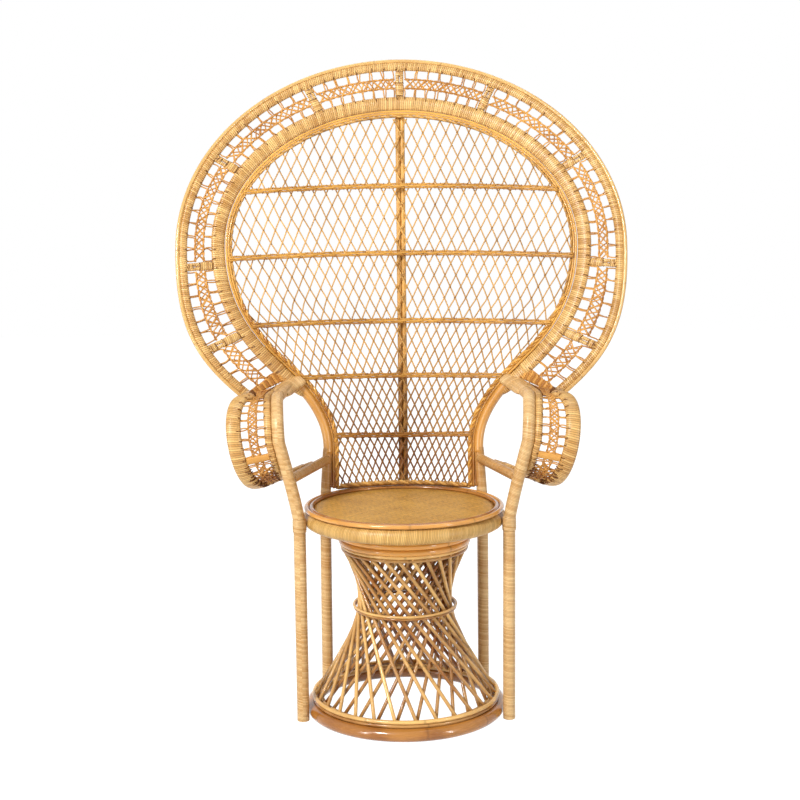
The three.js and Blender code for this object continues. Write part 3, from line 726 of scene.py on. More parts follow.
def new_material(name: str) -> tuple[Material, Graph, Node]:
    """Material with a plain Principled shader.

    Args:
        name: Name of the material.

    Returns:
        The material, its graph and its shader node.
    """
    material = bpy.data.materials.new(name)
    material.use_nodes = True
    tree = material.node_tree
    return material, Graph(tree), tree.nodes["Principled BSDF"]


Colour = tuple[float, float, float]


def opaque(colour: Colour, share: float = 1.0) -> tuple[float, ...]:
    """A colour times a share, with full alpha."""
    return tuple(part * share for part in colour) + (1.0,)


@dataclass(frozen=True)
class CaneFinish:
    """Split cane or reed: two tones, an amount of shine, and turns where it is wound.

    The lengths pitch, joint_length, joint_width and relief are in metres.
    """

    name: str
    slot: Slot
    light: Colour
    deep: Colour
    roughness: float
    coat: float
    pitch: float = 0.0
    joint_length: float = 0.0
    relief: float = 0.0004
    polish: float = 0.25
    slant: float = 0.12
    tone_share: float = 0.62
    cloud_share: float = 0.26
    fibre_share: float = 0.14
    fibre_height: float = 0.15
    # Painted shade in the grooves between turns: where it falls, how strong, how dark.
    groove_shade_range: tuple = (0.74, 0.22)
    groove_shade_strength: float = 0.85
    groove_shade: float = 0.32
    joint_width: float = 0.004
    joint_strength: float = 0.35
    joint_shade: float = 0.35
    bump: float = 0.8
    rough_spread: float = 0.12
    specular: float = 0.2

    def build(self, effects: Effects) -> Finish:
        """Makes the material.

        The colour runs from deep to light by each turn's or cane's own tone, the cloud and
        the fibres. It is darkened in the joints, and in the grooves as painted shade.

        Args:
            effects: The shared groups.

        Returns:
            The finish.
        """
        material, graph, shader = new_material(self.name)
        place = graph.add("ShaderNodeUVMap", {}, uv_map="surface").outputs[0]
        tone = graph.add("ShaderNodeAttribute", {}, attribute_name="tone").outputs["Fac"]
        grain = graph.group(effects.grain, Place=place, Spot=graph.spot())
        fibre, cloud = grain["Fibre"], grain["Cloud"]
        height = graph.math("MULTIPLY", fibre, self.fibre_height)
        if self.pitch:
            turns = graph.group(effects.turns, Place=place, Pitch=self.pitch, Slant=self.slant)
            tone = graph.math("ADD", turns["Tone"], graph.math("SUBTRACT", tone, 0.5))
            height = graph.math("ADD", height, turns["Height"])
        share = graph.math("MULTIPLY", tone, self.tone_share)
        share = graph.math("MULTIPLY_ADD", cloud, self.cloud_share, share)
        share = graph.math("MULTIPLY_ADD", fibre, self.fibre_share, share)
        colour = graph.mixed(share, opaque(self.deep), opaque(self.light))
        if self.pitch:
            # Painted shade in the grooves between the turns.
            groove = graph.spread(turns["Height"], *self.groove_shade_range)
            colour = graph.tinted(colour, groove, self.groove_shade_strength, opaque(self.deep, self.groove_shade))
        if self.joint_length:
            sizes = {"Length": self.joint_length, "Width": self.joint_width}
            ring = graph.group(effects.joints, Place=place, **sizes)["Ring"]
            colour = graph.tinted(colour, ring, self.joint_strength, opaque(self.deep, self.joint_shade))
            height = graph.math("ADD", height, ring)
        bump = graph.add("ShaderNodeBump", {"Strength": self.bump, "Distance": self.relief, "Height": height})
        least = self.roughness - self.rough_spread / 2
        graph.fill(shader, {
            "Base Color": colour, "Roughness": graph.math("MULTIPLY_ADD", cloud, self.rough_spread, least),
            "Normal": bump.outputs[0], "Specular IOR Level": self.specular,
            "Coat Weight": self.coat, "Coat Roughness": self.polish})
        return Finish(material, self.slot)


@dataclass(frozen=True)
class PlaitFinish:
    """Flat cane plaited over and under in a close twill. The strip and relief are in metres."""

    name: str
    slot: Slot
    light: Colour
    deep: Colour
    strip: float = 0.0042
    turn: float = math.radians(38)
    twill: float = 0.25
    fullness: float = 0.5
    tone_share: float = 0.5
    least_share: float = 0.15
    cloud_share: float = 0.2
    # Painted shade in the gaps between strips: where it falls and how strong.
    gap_shade_range: tuple = (0.6, 0.15)
    gap_shade_strength: float = 0.7
    dark_shade: float = 0.4
    bright_shade: float = 1.35
    fleck_scale: tuple = (110.0, 420.0, 1.0)
    dark_fleck: tuple = (1.0, 0.62, 0.74)
    bright_fleck: tuple = (1.7, 0.36, 0.26)
    fleck_strength: float = 0.6
    bump: float = 0.7
    relief: float = 0.0005
    roughness: float = 0.45
    specular: float = 0.3

    def build(self, effects: Effects) -> Finish:
        """Makes the material on Object coordinates.

        Strips run along x and y. Where the fraction of twill * (x cell + y cell) is a half
        or more, the strip that crosses x cells lies on top. The top strip's rounded
        profile is the height, and its own number gives its tone. The gaps between strips,
        where the height falls, are drawn dark as painted shade.

        Args:
            effects: The shared groups.

        Returns:
            The finish.
        """
        material, graph, shader = new_material(self.name)
        spot = graph.spot()
        inputs = {"Vector": spot, "Rotation": (0.0, 0.0, self.turn)}
        turned = graph.add("ShaderNodeMapping", inputs).outputs[0]
        parts = graph.parts(turned)
        cells = [graph.math("DIVIDE", parts[axis], self.strip) for axis in range(2)]
        whole = [graph.math("FLOOR", cell) for cell in cells]
        phase = graph.math("FRACT", graph.math("MULTIPLY", graph.math("ADD", *whole), self.twill))
        over = graph.math("GREATER_THAN", phase, 0.49)
        under = graph.math("SUBTRACT", 1.0, over)
        pick = lambda pair: graph.math("ADD", graph.math("MULTIPLY", over, pair[0]),
                                       graph.math("MULTIPLY", under, pair[1]))
        height = graph.math("POWER", pick([graph.arches(cell) for cell in cells]), self.fullness)
        tone = graph.math("MULTIPLY_ADD", pick([graph.drawn_lot(number) for number in whole]),
                          self.tone_share, self.least_share)
        cloud = graph.group(effects.grain, Place=spot, Spot=spot)["Cloud"]
        share = graph.math("MULTIPLY_ADD", cloud, self.cloud_share, tone)
        dark, bright = opaque(self.deep, self.dark_shade), opaque(self.light, self.bright_shade)
        colour = graph.mixed(share, opaque(self.deep), opaque(self.light))
        # Painted shade in the gaps between strips.
        colour = graph.tinted(colour, graph.spread(height, *self.gap_shade_range), self.gap_shade_strength, dark)
        drawn = graph.scaled(turned, self.fleck_scale)
        for (scale, low, high), tint in ((self.dark_fleck, dark), (self.bright_fleck, bright)):
            fleck = graph.spread(graph.noise(drawn, scale, 1.0), low, high)
            colour = graph.tinted(colour, fleck, self.fleck_strength, tint)
        bump = graph.add("ShaderNodeBump", {"Strength": self.bump, "Distance": self.relief, "Height": height})
        graph.fill(shader, {"Base Color": colour, "Normal": bump.outputs[0], "Roughness": self.roughness,
                            "Specular IOR Level": self.specular})
        return Finish(material, self.slot)


class Finishes:
    """Every finish of the chair, built once."""

    def __init__(self) -> None:
        """Builds the shared effects and then the finishes."""
        effects = Effects()
        cane = lambda name, slot, *looks, **more: CaneFinish(name, slot, *looks, **more).build(effects)
        wound, poles, rods = Slot.CANE, Slot.POLE, Slot.ROD
        self.band = cane("border cane", wound, (0.84, 0.54, 0.20), (0.42, 0.19, 0.042), 0.34, 0.3,
                         pitch=0.0046, relief=0.0007)
        self.leg = cane("leg cane", wound, (0.83, 0.575, 0.275), (0.52, 0.26, 0.072), 0.32, 0.3, pitch=0.0030)
        self.ring = cane("seat ring cane", wound, (0.72, 0.45, 0.15), (0.48, 0.255, 0.06), 0.36, 0.25,
                         pitch=0.0034)
        self.lace = cane("lace cane", rods, (0.78, 0.41, 0.10), (0.30, 0.10, 0.015), 0.42, 0.15)
        # Near-black cane: painted shade in the slits of the band and arm catches, and the dark cane of the
        # spar bindings.
        self.slit = cane("slit", rods, (0.22, 0.085, 0.022), (0.14, 0.05, 0.012), 0.6, 0.0)
        self.strand = cane("lattice reed", Slot.LATTICE, (0.78, 0.45, 0.13), (0.16, 0.048, 0.007), 0.45, 0.1)
        self.bar = cane("crossbar cane", rods, (0.82, 0.45, 0.10), (0.21, 0.062, 0.006), 0.42, 0.12)
        self.rod = cane("pedestal rod", rods, (0.95, 0.60, 0.21), (0.24, 0.070, 0.005), 0.24, 0.35,
                        joint_length=0.24, polish=0.12)
        self.rim = cane("rim rod", rods, (0.80, 0.52, 0.20), (0.50, 0.26, 0.065), 0.24, 0.5,
                        joint_length=0.30, polish=0.12)
        self.trim = cane("trim rod", rods, (0.80, 0.44, 0.09), (0.28, 0.09, 0.01), 0.28, 0.4,
                         joint_length=0.26, polish=0.12)
        self.pole = cane("brown pole", poles, (0.76, 0.36, 0.075), (0.20, 0.05, 0.006), 0.18, 0.7,
                         joint_length=0.28, polish=0.12)
        self.neck = cane("neck pole", poles, (0.70, 0.35, 0.07), (0.36, 0.12, 0.012), 0.32, 1.0,
                         joint_length=0.4, polish=0.28)
        self.stake = cane("middle stake", poles, (0.76, 0.42, 0.11), (0.19, 0.055, 0.006), 0.36, 0.25)
        plait = PlaitFinish("plaited seat", Slot.SEAT, (0.74, 0.42, 0.085), (0.33, 0.145, 0.018))
        self.seat = plait.build(effects)


@dataclass
class BackSheet:
    """The curved sheet that the fan lies in: it leans back, wings and neck come forward."""

    lean_start: float = 460
    start_depth: float = 200
    lean: float = 0.1584
    wing_forward: float = 100
    fan_half: float = 514
    neck_forward: float = 37.5
    neck_half: float = 152
    neck_fall: float = 235

    def depth(self, x: Array, z: Array) -> Array:
        """Depth y of the sheet.

        It is the start depth + lean * rise - wing * (x / fan half)^2
        - neck * (x / neck half)^2 * exp(-rise / fall), where rise is z less the start.

        Args:
            x: Place across.
            z: Height.

        Returns:
            The depths.
        """
        rise = z - self.lean_start
        neck = self.neck_forward * (x / self.neck_half) ** 2 * np.exp(-rise / self.neck_fall)
        return self.start_depth + rise * self.lean - self.wing_forward * (x / self.fan_half) ** 2 - neck

    def facing(self, x: Array, z: Array) -> Array:
        """Unit normal towards the sitter, (dy/dx, -1, dy/dz) made one long.

        Args:
            x: Place across.
            z: Height.

        Returns:
            The normals.
        """
        step = 1.0
        slope_x = (self.depth(x + step, z) - self.depth(x - step, z)) / (2 * step)
        slope_z = (self.depth(x, z + step) - self.depth(x, z - step)) / (2 * step)
        return unit(stacked(slope_x, -1.0, slope_z))

    def at(self, x: Amount, z: Amount, forward: Amount = 0.0) -> Array:
        """Point of the sheet at (x, z), moved forward along its normal."""
        x, z = np.broadcast_arrays(np.asarray(x, float), np.asarray(z, float))
        return stacked(x, self.depth(x, z), z) + self.facing(x, z) * np.asarray(forward)[..., None]

    def line(self, x: Array, z: Amount, forward: Amount) -> Line:
        """Line through (x, z) in front of the sheet, facing as the sheet does."""
        return Line(self.at(x, z, forward), self.facing(x, z + 0 * x))


Curve = Callable[[Array], Array]


def along_curve(points: Array) -> Curve:
    """Function that gives the point at each share, 0 to 1, of a curve's length."""
    reach = reach_along(points)
    return lambda share: read_off(share, reach / reach[-1], points)


def bezier(corners: Sequence[Sequence[float]], count: int = 400) -> Array:
    """Cubic curve: (1-t)^3 a + 3 (1-t)^2 t b + 3 (1-t) t^2 c + t^3 d.

    Args:
        corners: Its four corners, a to d.
        count: How many points.

    Returns:
        The points.
    """
    t = np.linspace(0, 1, count)[:, None]
    a, b, c, d = (np.array(p, float) for p in corners)
    return (1 - t) ** 3 * a + 3 * (1 - t) ** 2 * t * b + 3 * (1 - t) * t ** 2 * c + t ** 3 * d


def quarter(half: float, wide: float, top: float, count: int = 400) -> Array:
    """Quarter ellipse from its top to its widest point: (half sin a, wide + (top - wide) cos a)."""
    angle = np.linspace(0, np.pi / 2, count)
    return stacked(half * np.sin(angle), wide + (top - wide) * np.cos(angle))


@dataclass
class Strip:
    """A ruled strip: an outer edge, an inner edge and a facing at each station.

    Its lace lies between two insets, near from the outer edge and far from the inner one.
    """

    outer: Array
    inner: Array
    facing: Array
    near: Amount = 0.0
    far: Amount = 0.0

    def __post_init__(self) -> None:
        """Works out the direction inwards, the widths and the length along the middle."""
        self.inward = unit(self.inner - self.outer)
        self.width = np.linalg.norm(self.inner - self.outer, axis=1)
        self.length = reach_along((self.outer + self.inner) / 2)

    def from_outer(self, inset: Amount, forward: Amount = 0.0, part: slice = slice(None)) -> Line:
        """Line at a distance in from the outer edge.

        Args:
            inset: The distance.
            forward: How far it stands off.
            part: Stations to keep.

        Returns:
            The line.
        """
        inset, forward = (np.broadcast_to(v, self.width.shape)[:, None] for v in (inset, forward))
        points = self.outer + self.inward * inset + self.facing * forward
        return Line(points[part], self.facing[part])

    def from_inner(self, inset: Amount, forward: Amount = 0.0, part: slice = slice(None)) -> Line:
        """Line at a distance in from the inner edge."""
        return self.from_outer(self.width - inset, forward, part)

    def place(self, spots: Array) -> tuple[Array, Array]:
        """Points for places in the lace.

        Args:
            spots: (..., 3) lengths along, shares across the lace, and heights.

        Returns:
            (..., 3) points and the facing at each.
        """
        near, far, facing = (read_off(spots[..., 0], self.length, values) for values in (
            self.from_outer(self.near).points, self.from_inner(self.far).points, self.facing))
        share, facing = spots[..., 1:2], unit(facing)
        return near * (1 - share) + far * share + facing * spots[..., 2:3], facing

    def crossing(self, length: Amount, share: Array) -> Line:
        """Line over the lace at a length or lengths, through the given shares across."""
        return Line(*self.place(stacked(length, share, 0.0)))

    def laced(self, near: Amount, far: Amount) -> "Strip":
        """The strip with its lace between two insets."""
        return replace(self, near=near, far=far)

    def turned(self) -> "Strip":
        """The strip with its outer and inner edge changed over."""
        return Strip(self.inner, self.outer, self.facing)


@dataclass
class Keyhole:
    """Outlines of the fan's border and of its keyhole opening, on the back sheet."""

    sheet: BackSheet = field(default_factory=BackSheet)
    fan_top: float = 1467
    fan_wide: float = 1040
    border_top: float = 138
    border_side: float = 123
    opening_wide: float = 1035
    neck_top: float = 565
    neck_rise: float = 201
    inner_end_x: float = 262
    border_end_width: float = 127
    border_end_turn: float = math.radians(36)
    outline_end_turn: float = math.radians(47)
    outer_fullness: float = 190
    outer_sweep: float = 130
    inner_fullness: float = 135
    inner_sweep: float = 80
    band_width: float = 32
    bottom: float = 474.6
    border_count: int = 480
    neck_count: int = 90
    end_reach: float = 34
    end_rows: int = 8
    end_stride: int = 4

    def __post_init__(self) -> None:
        """Lays out the curves and the strip through all stations, from left to right."""
        half, neck_half, turn = self.sheet.fan_half, self.sheet.neck_half, self.border_end_turn
        opening_half, self.opening_top = half - self.border_side, self.fan_top - self.border_top
        inner_end = np.array([self.inner_end_x, self.neck_top + self.neck_rise])
        self.end = inner_end + self.border_end_width * np.array([math.cos(turn), -math.sin(turn)])
        run = np.array([math.sin(self.outline_end_turn), math.cos(self.outline_end_turn)])
        flank = lambda x, z, fullness, sweep, end: along_curve(bezier([
            (x, z), (x, z - fullness), end + sweep * run, end]))
        self.outer_arcs = [along_curve(quarter(half, self.fan_wide, self.fan_top)),
                           flank(half, self.fan_wide, self.outer_fullness, self.outer_sweep, self.end)]
        self.inner_arcs = [along_curve(quarter(opening_half, self.opening_wide, self.opening_top)),
                           flank(opening_half, self.opening_wide, self.inner_fullness, self.inner_sweep,
                                 inner_end)]
        self.neck_curve = along_curve(bezier([
            inner_end, inner_end - self.inner_sweep * run,
            (neck_half, self.neck_top + self.inner_sweep), (neck_half, self.neck_top)]))
        self.strip = self.build_strip()

    def on_arcs(self, arcs: Sequence[Curve], share: Array) -> Array:
        """Point at a share of an outline: 0 top, 1 widest, 2 lower end."""
        return np.where(share[:, None] <= 1, arcs[0](np.clip(share, 0, 1)), arcs[1](np.clip(share - 1, 0, 1)))

    def build_strip(self) -> Strip:
        """Stations up the left neck, round the border and down the right neck.

        Returns:
            The strip, whose facing is the sheet's normal made square to its inward way.
        """
        shares = np.linspace(0, 2, self.border_count // 2 + 1)
        self.half_count = len(shares)
        curve = self.neck_curve(np.linspace(0, 1, self.neck_count + 1)[1:])
        down = np.linspace(self.neck_top, self.bottom, self.neck_count // 3 + 1)[1:]
        neck = np.vstack([curve, stacked(self.sheet.neck_half, down)])
        run = tangents(neck, False)
        outward = stacked(-run[:, 1], run[:, 0]) * self.band_width
        double = lambda a: np.vstack([a[:0:-1] * [-1, 1], a])
        outer = double(np.vstack([self.on_arcs(self.outer_arcs, shares), neck + outward]))
        inner = double(np.vstack([self.on_arcs(self.inner_arcs, shares), neck]))
        near, far, middle = self.sheet.at(*outer.T), self.sheet.at(*inner.T), (outer + inner) / 2
        return Strip(near, far, square_to(self.sheet.facing(*middle.T), unit(far - near)))

    def end_strips(self) -> list[Strip]:
        """Short strips that carry the border on past its left and right end, behind the arms.

        Returns:
            The left strip and the right one.
        """
        made, strip = [], self.strip
        reach = np.linspace(0, self.end_reach, self.end_rows)[:, None]
        for station, stride in ((self.station(-2), -self.end_stride), (self.station(2), self.end_stride)):
            rows = [edge[station] + unit(edge[station] - edge[station - stride]) * reach
                    for edge in (strip.outer, strip.inner)]
            made.append(Strip(*rows, np.tile(strip.facing[station], (self.end_rows, 1))))
        return made

    def station(self, share: float) -> int:
        """Number of the station at a border share, -2 to 2."""
        return len(self.strip.length) // 2 + int(round(share * (self.half_count - 1) / 2))

    def neck_station(self, share: float) -> int:
        """Number of the station at a share of the right neck's curve, 0 at the border."""
        return self.station(2) + int(round(share * self.neck_count))

    def part(self, neck_share: float = 0.0) -> slice:
        """Stations of the border, with a share of the curved neck at each end."""
        middle, last = self.station(0), self.neck_station(neck_share)
        return slice(2 * middle - last, last + 1)

    def opening_reach(self, z: Amount, inset: float) -> Array:
        """Half width of the opening at a height, inside the given inset of its edge.

        Args:
            z: Height.
            inset: Distance from the edge.

        Returns:
            The half widths.
        """
        edge = self.strip.from_inner(inset).points
        right = edge[len(edge) // 2:]
        return np.interp(z, right[::-1, 2], right[::-1, 0])


@dataclass
class Lacing:
    """Cane lacing between two bands: rungs with open squares, and crossing canes between.

    Shares are of the way across, and lifts are heights above the middle in millimetres.
    """

    pitch: float = 28.0
    radius: float = 1.6
    rung: float = 0.33
    spread: float = 1.4
    seed: int = 4
    overrun_share: float = 0.05
    shoulder_share: float = 0.15
    lifts: tuple = (0.6, 1.3, 1.4)
    lean: float = 1.5
    cross_share: float = 0.01
    cross_lean: float = 2.6
    wave_share: float = 0.022
    wave_lift: float = 1.7
    wave_samples: int = 10
    tones: tuple = (0.1, 1)

    def rungs(self, first: float, last: float) -> Array:
        """Lengths of the rungs that divide a stretch into cells, its ends among them."""
        count = max(int(round((last - first) / self.pitch)), 1)
        return np.linspace(first, last, count + 1)

    def canes(self, first: float, last: float) -> list[Array]:
        """Broken lines of all canes between two lengths.

        Canes cross the strip from band to band as rung, diagonal, rung, in both
        directions. Short crosses fill the middle, and two waves bound its edges.

        Args:
            first: Length along the strip where the lacing starts.
            last: Length where it ends.

        Returns:
            Arrays of (k, p, 3) places: length, share across, height.
        """
        ends = self.rungs(first, last)
        low, high = ends[:-1], ends[1:]
        rng = np.random.default_rng(self.seed + int(first))
        shares, lifts = np.array([-self.overrun_share, self.shoulder_share, self.rung]), np.array(self.lifts)
        shares, lifts = np.append(shares, 1 - shares[::-1]), np.append(lifts, -lifts[::-1])
        out = []
        for way in (1, -1):
            near, far = (low + self.spread, high - self.spread)[::way]
            sides = np.repeat(stacked(near, far), len(shares) // 2, axis=1)
            out.append(rounded(stacked(sides + rng.normal(0, self.lean, sides.shape), shares, lifts * way)))
        return out + self.crosses(low, high, rng) + self.edge_waves(first, last, len(low))

    def crosses(self, low: Array, high: Array, rng: np.random.Generator) -> list[Array]:
        """Two finer crosses in the middle of each cell, from edge wave to edge wave.

        Args:
            low: Where the cells start.
            high: Where they end.
            rng: Source of their unevenness.

        Returns:
            Arrays of places, as for canes.
        """
        shares = np.array([self.rung + self.cross_share, 1 - self.cross_share - self.rung])
        out = []
        for shift in (0.0, 0.5):
            for way in (1, -1):
                start = low + (high - low) * (0.5 - 0.25 * way + shift)
                length = stacked(start, start + (high - low) * 0.5 * way)
                lean = rng.normal(0, self.cross_lean, length.shape)
                out.append(rounded(stacked(length + lean, shares, np.array([way, -way]))))
        return out

    def edge_waves(self, first: float, last: float, cells: int) -> list[Array]:
        """Two wavy canes on each edge of the middle: share + wave share * sin(2 pi cells).

        Args:
            first: Where the waves start.
            last: Where they end.
            cells: Waves in all.

        Returns:
            Arrays of places, as for canes.
        """
        samples = np.linspace(first, last, cells * self.wave_samples + 1)
        phase = 2 * np.pi * cells * (samples - first) / (last - first)
        return [stacked(samples, middle + self.wave_share * np.sin(phase + turn),
                        self.wave_lift * np.cos(phase + turn))[None]
                for middle in (self.rung, 1 - self.rung) for turn in (0.0, np.pi)]

    def skins(self, strip: Strip, first: float, last: float) -> list[Skin]:
        """Canes of the lacing as tubes on a strip.

        Args:
            strip: The laced strip.
            first: Where the lacing starts.
            last: Where it ends.

        Returns:
            The tubes.
        """
        rng = np.random.default_rng(self.seed + int(last))
        return [tubes(*strip.place(paths), self.radius, 6, rng.uniform(*self.tones, len(paths)))
                for paths in self.canes(first, last)]


@dataclass
class Catches:
    """Dark slits over the edge of a band, where the rungs are caught in its winding; their near-black colour
    is painted shade in the slits.
    """

    radius: float = 0.9
    beside: float = 3.0
    slant: float = 1.2
    shift: float = 0.4
    reach_shares: tuple = (0.55, 1.15)
    sink: float = 0.2
    steepness: float = 1.9

    def skin(self, strip: Strip, rungs: Array, inset: float, reach: float, thickness: float) -> Skin:
        """Arched slits from the band's lace edge over part of its width.

        A slit rises as (thickness / 2 - sink) * sin(pi / 2 * min(steepness * t, 1)), where
        t runs from 0 at the edge to 1.

        Args:
            strip: The strip that the band lies on, with no insets.
            rungs: Lengths of the rungs.
            inset: Distance of the lace from the strip's outer edge.
            reach: How far over the band a slit goes, with its sign.
            thickness: Thickness of the band.

        Returns:
            The slits, in the deep tone, which is painted shade.
        """
        rng = np.random.default_rng(11)
        start = (rungs + self.beside * rng.choice([-1, 1], len(rungs)))[:, None]
        t = np.linspace(0, 1, 7)[None]
        length = start + rng.normal(0, self.slant, start.shape) * t + rng.normal(0, self.shift, start.shape)
        edge = inset + reach * t * rng.uniform(*self.reach_shares, start.shape)
        rise = (thickness / 2 - self.sink) * np.sin(np.pi / 2 * np.clip(t * self.steepness, 0, 1))
        (near, facing), (far, _) = (strip.place(stacked(length, share, rise)) for share in (0.0, 1.0))
        path = near + unit(far - near) * edge[..., None]
        return tubes(path, facing, self.radius, 5, np.zeros(len(rungs)))


@dataclass(frozen=True)
class Sleeve:
    """Wound sleeve over a spar: the shares of the way across where it starts and ends, and its size."""

    first_share: float
    last_share: float
    width: float
    height: float
    samples: int = 60
    fall: float = 0.28
    tone: float = 0.5

    def skin(self, strip: Strip, length: float) -> Skin:
        """Sleeve at a length along a strip; its size is 1 - fall * e^4, with e from -1 to 1 along it.

        Args:
            strip: The laced strip.
            length: Length of the spar along it.

        Returns:
            The sleeve.
        """
        share = np.linspace(self.first_share, self.last_share, self.samples)
        line = strip.crossing(length, share).even(1.0)
        swell = 1 - self.fall * np.linspace(-1, 1, len(line.points)) ** 4
        section = Section(self.width, self.height, 14, 0.9, self.tone, Winding(4.2, 0.7, 0.1))
        return section.skin(line, swell=swell)


@dataclass
class Border:
    """The fan's border: its rim, two wound bands, and the spars and lacing between them."""

    finishes: Finishes
    keyhole: Keyhole
    rim: Section = pole(9.2, 12)
    rim_inset: float = 6.2
    outer: Section = Section(19.5, 14.5, 16, 0.85, winding=Winding(4.6, 0.75, 0.12))
    outer_inset: float = 9.7
    inner: Section = Section(32, 16, 18, 0.8, winding=Winding(4.6, 0.75, 0.12))
    inner_inset: float = 17.1
    inner_end_width: float = 17
    inner_end_taper: float = 60
    inner_tail_share: float = 0.33
    spar_shares: tuple = (0, 0.32, 0.7, 1.13, 1.64)
    spar: Section = pole(8.6, 10, 0.7)
    spar_half_gap: float = 4.6
    spar_overrun_share: float = 0.04
    sleeves: tuple[Sleeve, ...] = (Sleeve(0.46, 1.0, 21, 12), Sleeve(0.02, 0.2, 19, 10.5))
    binding_shares: tuple = (0.04, 0.2, 0.47, 0.97)
    binding_radii: tuple = (8.4, 8.6, 9.6, 9.2)
    binding_flatness: float = 0.62
    binding_cane: float = 0.8
    lace_overrun: float = 9
    lace_clear: float = 11
    catch_shares: tuple = (0.4, 0.3)
    weave_canes: int = 5
    weave_first: float = -1.0
    weave_pitches: tuple = (1.0, 6.0)
    weave_shares: tuple = (-0.15, 1.12)
    weave_rope: Rope = Rope(2.4, 2.0, 15, (0.95, 0.2))

    def build(self) -> None:
        """Builds every piece of the border."""
        self.build_bands()
        self.build_spars_and_lace()

    def build_bands(self) -> None:
        """Rim rod, and the two bands wound with cane."""
        strip, part, band = self.keyhole.strip, self.keyhole.part(), self.finishes.band
        rim = strip.from_outer(self.rim_inset, 0, part).even(8)
        make_piece("rim", [self.rim.skin(rim)], self.finishes.rim, "rim_rod")
        outer = strip.from_outer(self.outer_inset + self.outer.width / 2, 0, part)
        make_piece("outer_band", [self.outer.wound(outer)], band, "border_outer_band")
        tail = self.keyhole.part(self.inner_tail_share)
        first, last = strip.length[tail][[0, -1]]
        taper = np.clip(np.minimum(strip.length - first, last - strip.length) / self.inner_end_taper, 0, 1)
        wide = self.inner_end_width + (self.inner.width - self.inner_end_width) * np.sqrt(taper * (2 - taper))
        inner = strip.from_inner(self.inner_inset + wide / 2, 0, tail)
        make_piece("inner_band", [self.inner.band(inner, wide[tail])], band, "border_inner_band")

    def build_spars_and_lace(self) -> None:
        """Paired rods across the lace, bound at their ends, and the lacing between them."""
        keyhole, slit, near = self.keyhole, self.finishes.slit, self.outer_inset + self.outer.width
        far = self.inner_inset + self.inner.width
        strip = keyhole.strip.laced(near, far)
        shares = sorted({share * side for share in self.spar_shares for side in (-1, 1)})
        stops = [strip.length[keyhole.station(share)] for share in shares]
        for number, stop in enumerate(stops, 1):
            skins = self.spar_skins(strip, stop)
            make_piece(f"spar_{number}", skins, self.finishes.band, f"border_spar_{number}")
        first, last = strip.length[keyhole.station(-2)], strip.length[keyhole.station(2)]
        edges = [first - self.lace_overrun] + stops + [last + self.lace_overrun]
        ends = dict(zip((1, len(edges) - 1), keyhole.end_strips()))
        lacing, catches, rungs = Lacing(), Catches(), []
        for number, (low, high) in enumerate(zip(edges[:-1], edges[1:]), 1):
            low, high = low + self.lace_clear, high - self.lace_clear
            skins = lacing.skins(strip, low, high)
            if number in ends:
                skins += self.end_weave(ends[number].laced(near, far))
            make_piece(f"lace_{number}", skins, self.finishes.lace, f"border_lace_{number}")
            rungs.append(lacing.rungs(low, high))
        rungs = np.concatenate(rungs)
        skins = []
        for way, inset, share, band in zip((keyhole.strip, strip.turned()), (near, far), self.catch_shares,
                                           (self.outer, self.inner)):
            skins.append(catches.skin(way, rungs, inset, -share * band.width, band.height))
        # Painted shade: dark slits where the rungs go into the bands' winding.
        make_piece("band_slit_shade", skins, slit)
        make_piece("spar_bindings", [self.bindings(strip, np.array(stops))], slit)

    def end_weave(self, strip: Strip) -> list[Skin]:
        """Laid canes that fan out from the outer band's end and close the lace.

        Args:
            strip: Strip that carries the border on past its end.

        Returns:
            Two tubes for each laid cane.
        """
        skins, share = [], np.linspace(*self.weave_shares, 20)
        for cane in range(self.weave_canes):
            start, stop = self.weave_first + cane * self.weave_pitches[0], cane * self.weave_pitches[1]
            line = strip.crossing(np.linspace(start, stop, len(share)), share)
            skins += self.weave_rope.skins(line.even(1.5))
        return skins

    def bindings(self, strip: Strip, stops: Array) -> Skin:
        """Thin dark loops round the ends of the wound sleeves of all spars.

        A loop's point is the spar's middle + radius * (cos a * along the strip + flatness
        * sin a * its facing).

        Args:
            strip: The laced strip.
            stops: Lengths of the spars.

        Returns:
            The loops.
        """
        length = np.repeat(stops, len(self.binding_shares))[:, None]
        share, wide = (np.tile(sizes, len(stops))[:, None]
                       for sizes in (self.binding_shares, self.binding_radii))
        points, facing = strip.place(stacked(length + np.array([-1, 1]), share, 0.0))
        run, face, turn = unit(points[:, 1] - points[:, 0]), facing[:, 0], angles(20)
        ring = (points.mean(axis=1)[:, None] + run[:, None] * (wide * np.cos(turn))[..., None]
                + face[:, None] * (self.binding_flatness * wide * np.sin(turn))[..., None])
        beside = unit(np.cross(run, face))[:, None]
        return tubes(ring, beside, self.binding_cane, 5, np.zeros(len(ring)), True)

    def spar_skins(self, strip: Strip, stop: float) -> list[Skin]:
        """Two rods side by side from band to band, with a thicker wound sleeve on the inner half.

        Args:
            strip: The laced strip.
            stop: Length of the spar along it.

        Returns:
            Rods and sleeves.
        """
        share = np.linspace(-self.spar_overrun_share, 1 + self.spar_overrun_share, 14)
        rods = [self.spar.skin(strip.crossing(stop + side * self.spar_half_gap, share)) for side in (-1, 1)]
        return rods + [sleeve.skin(strip, stop) for sleeve in self.sleeves]


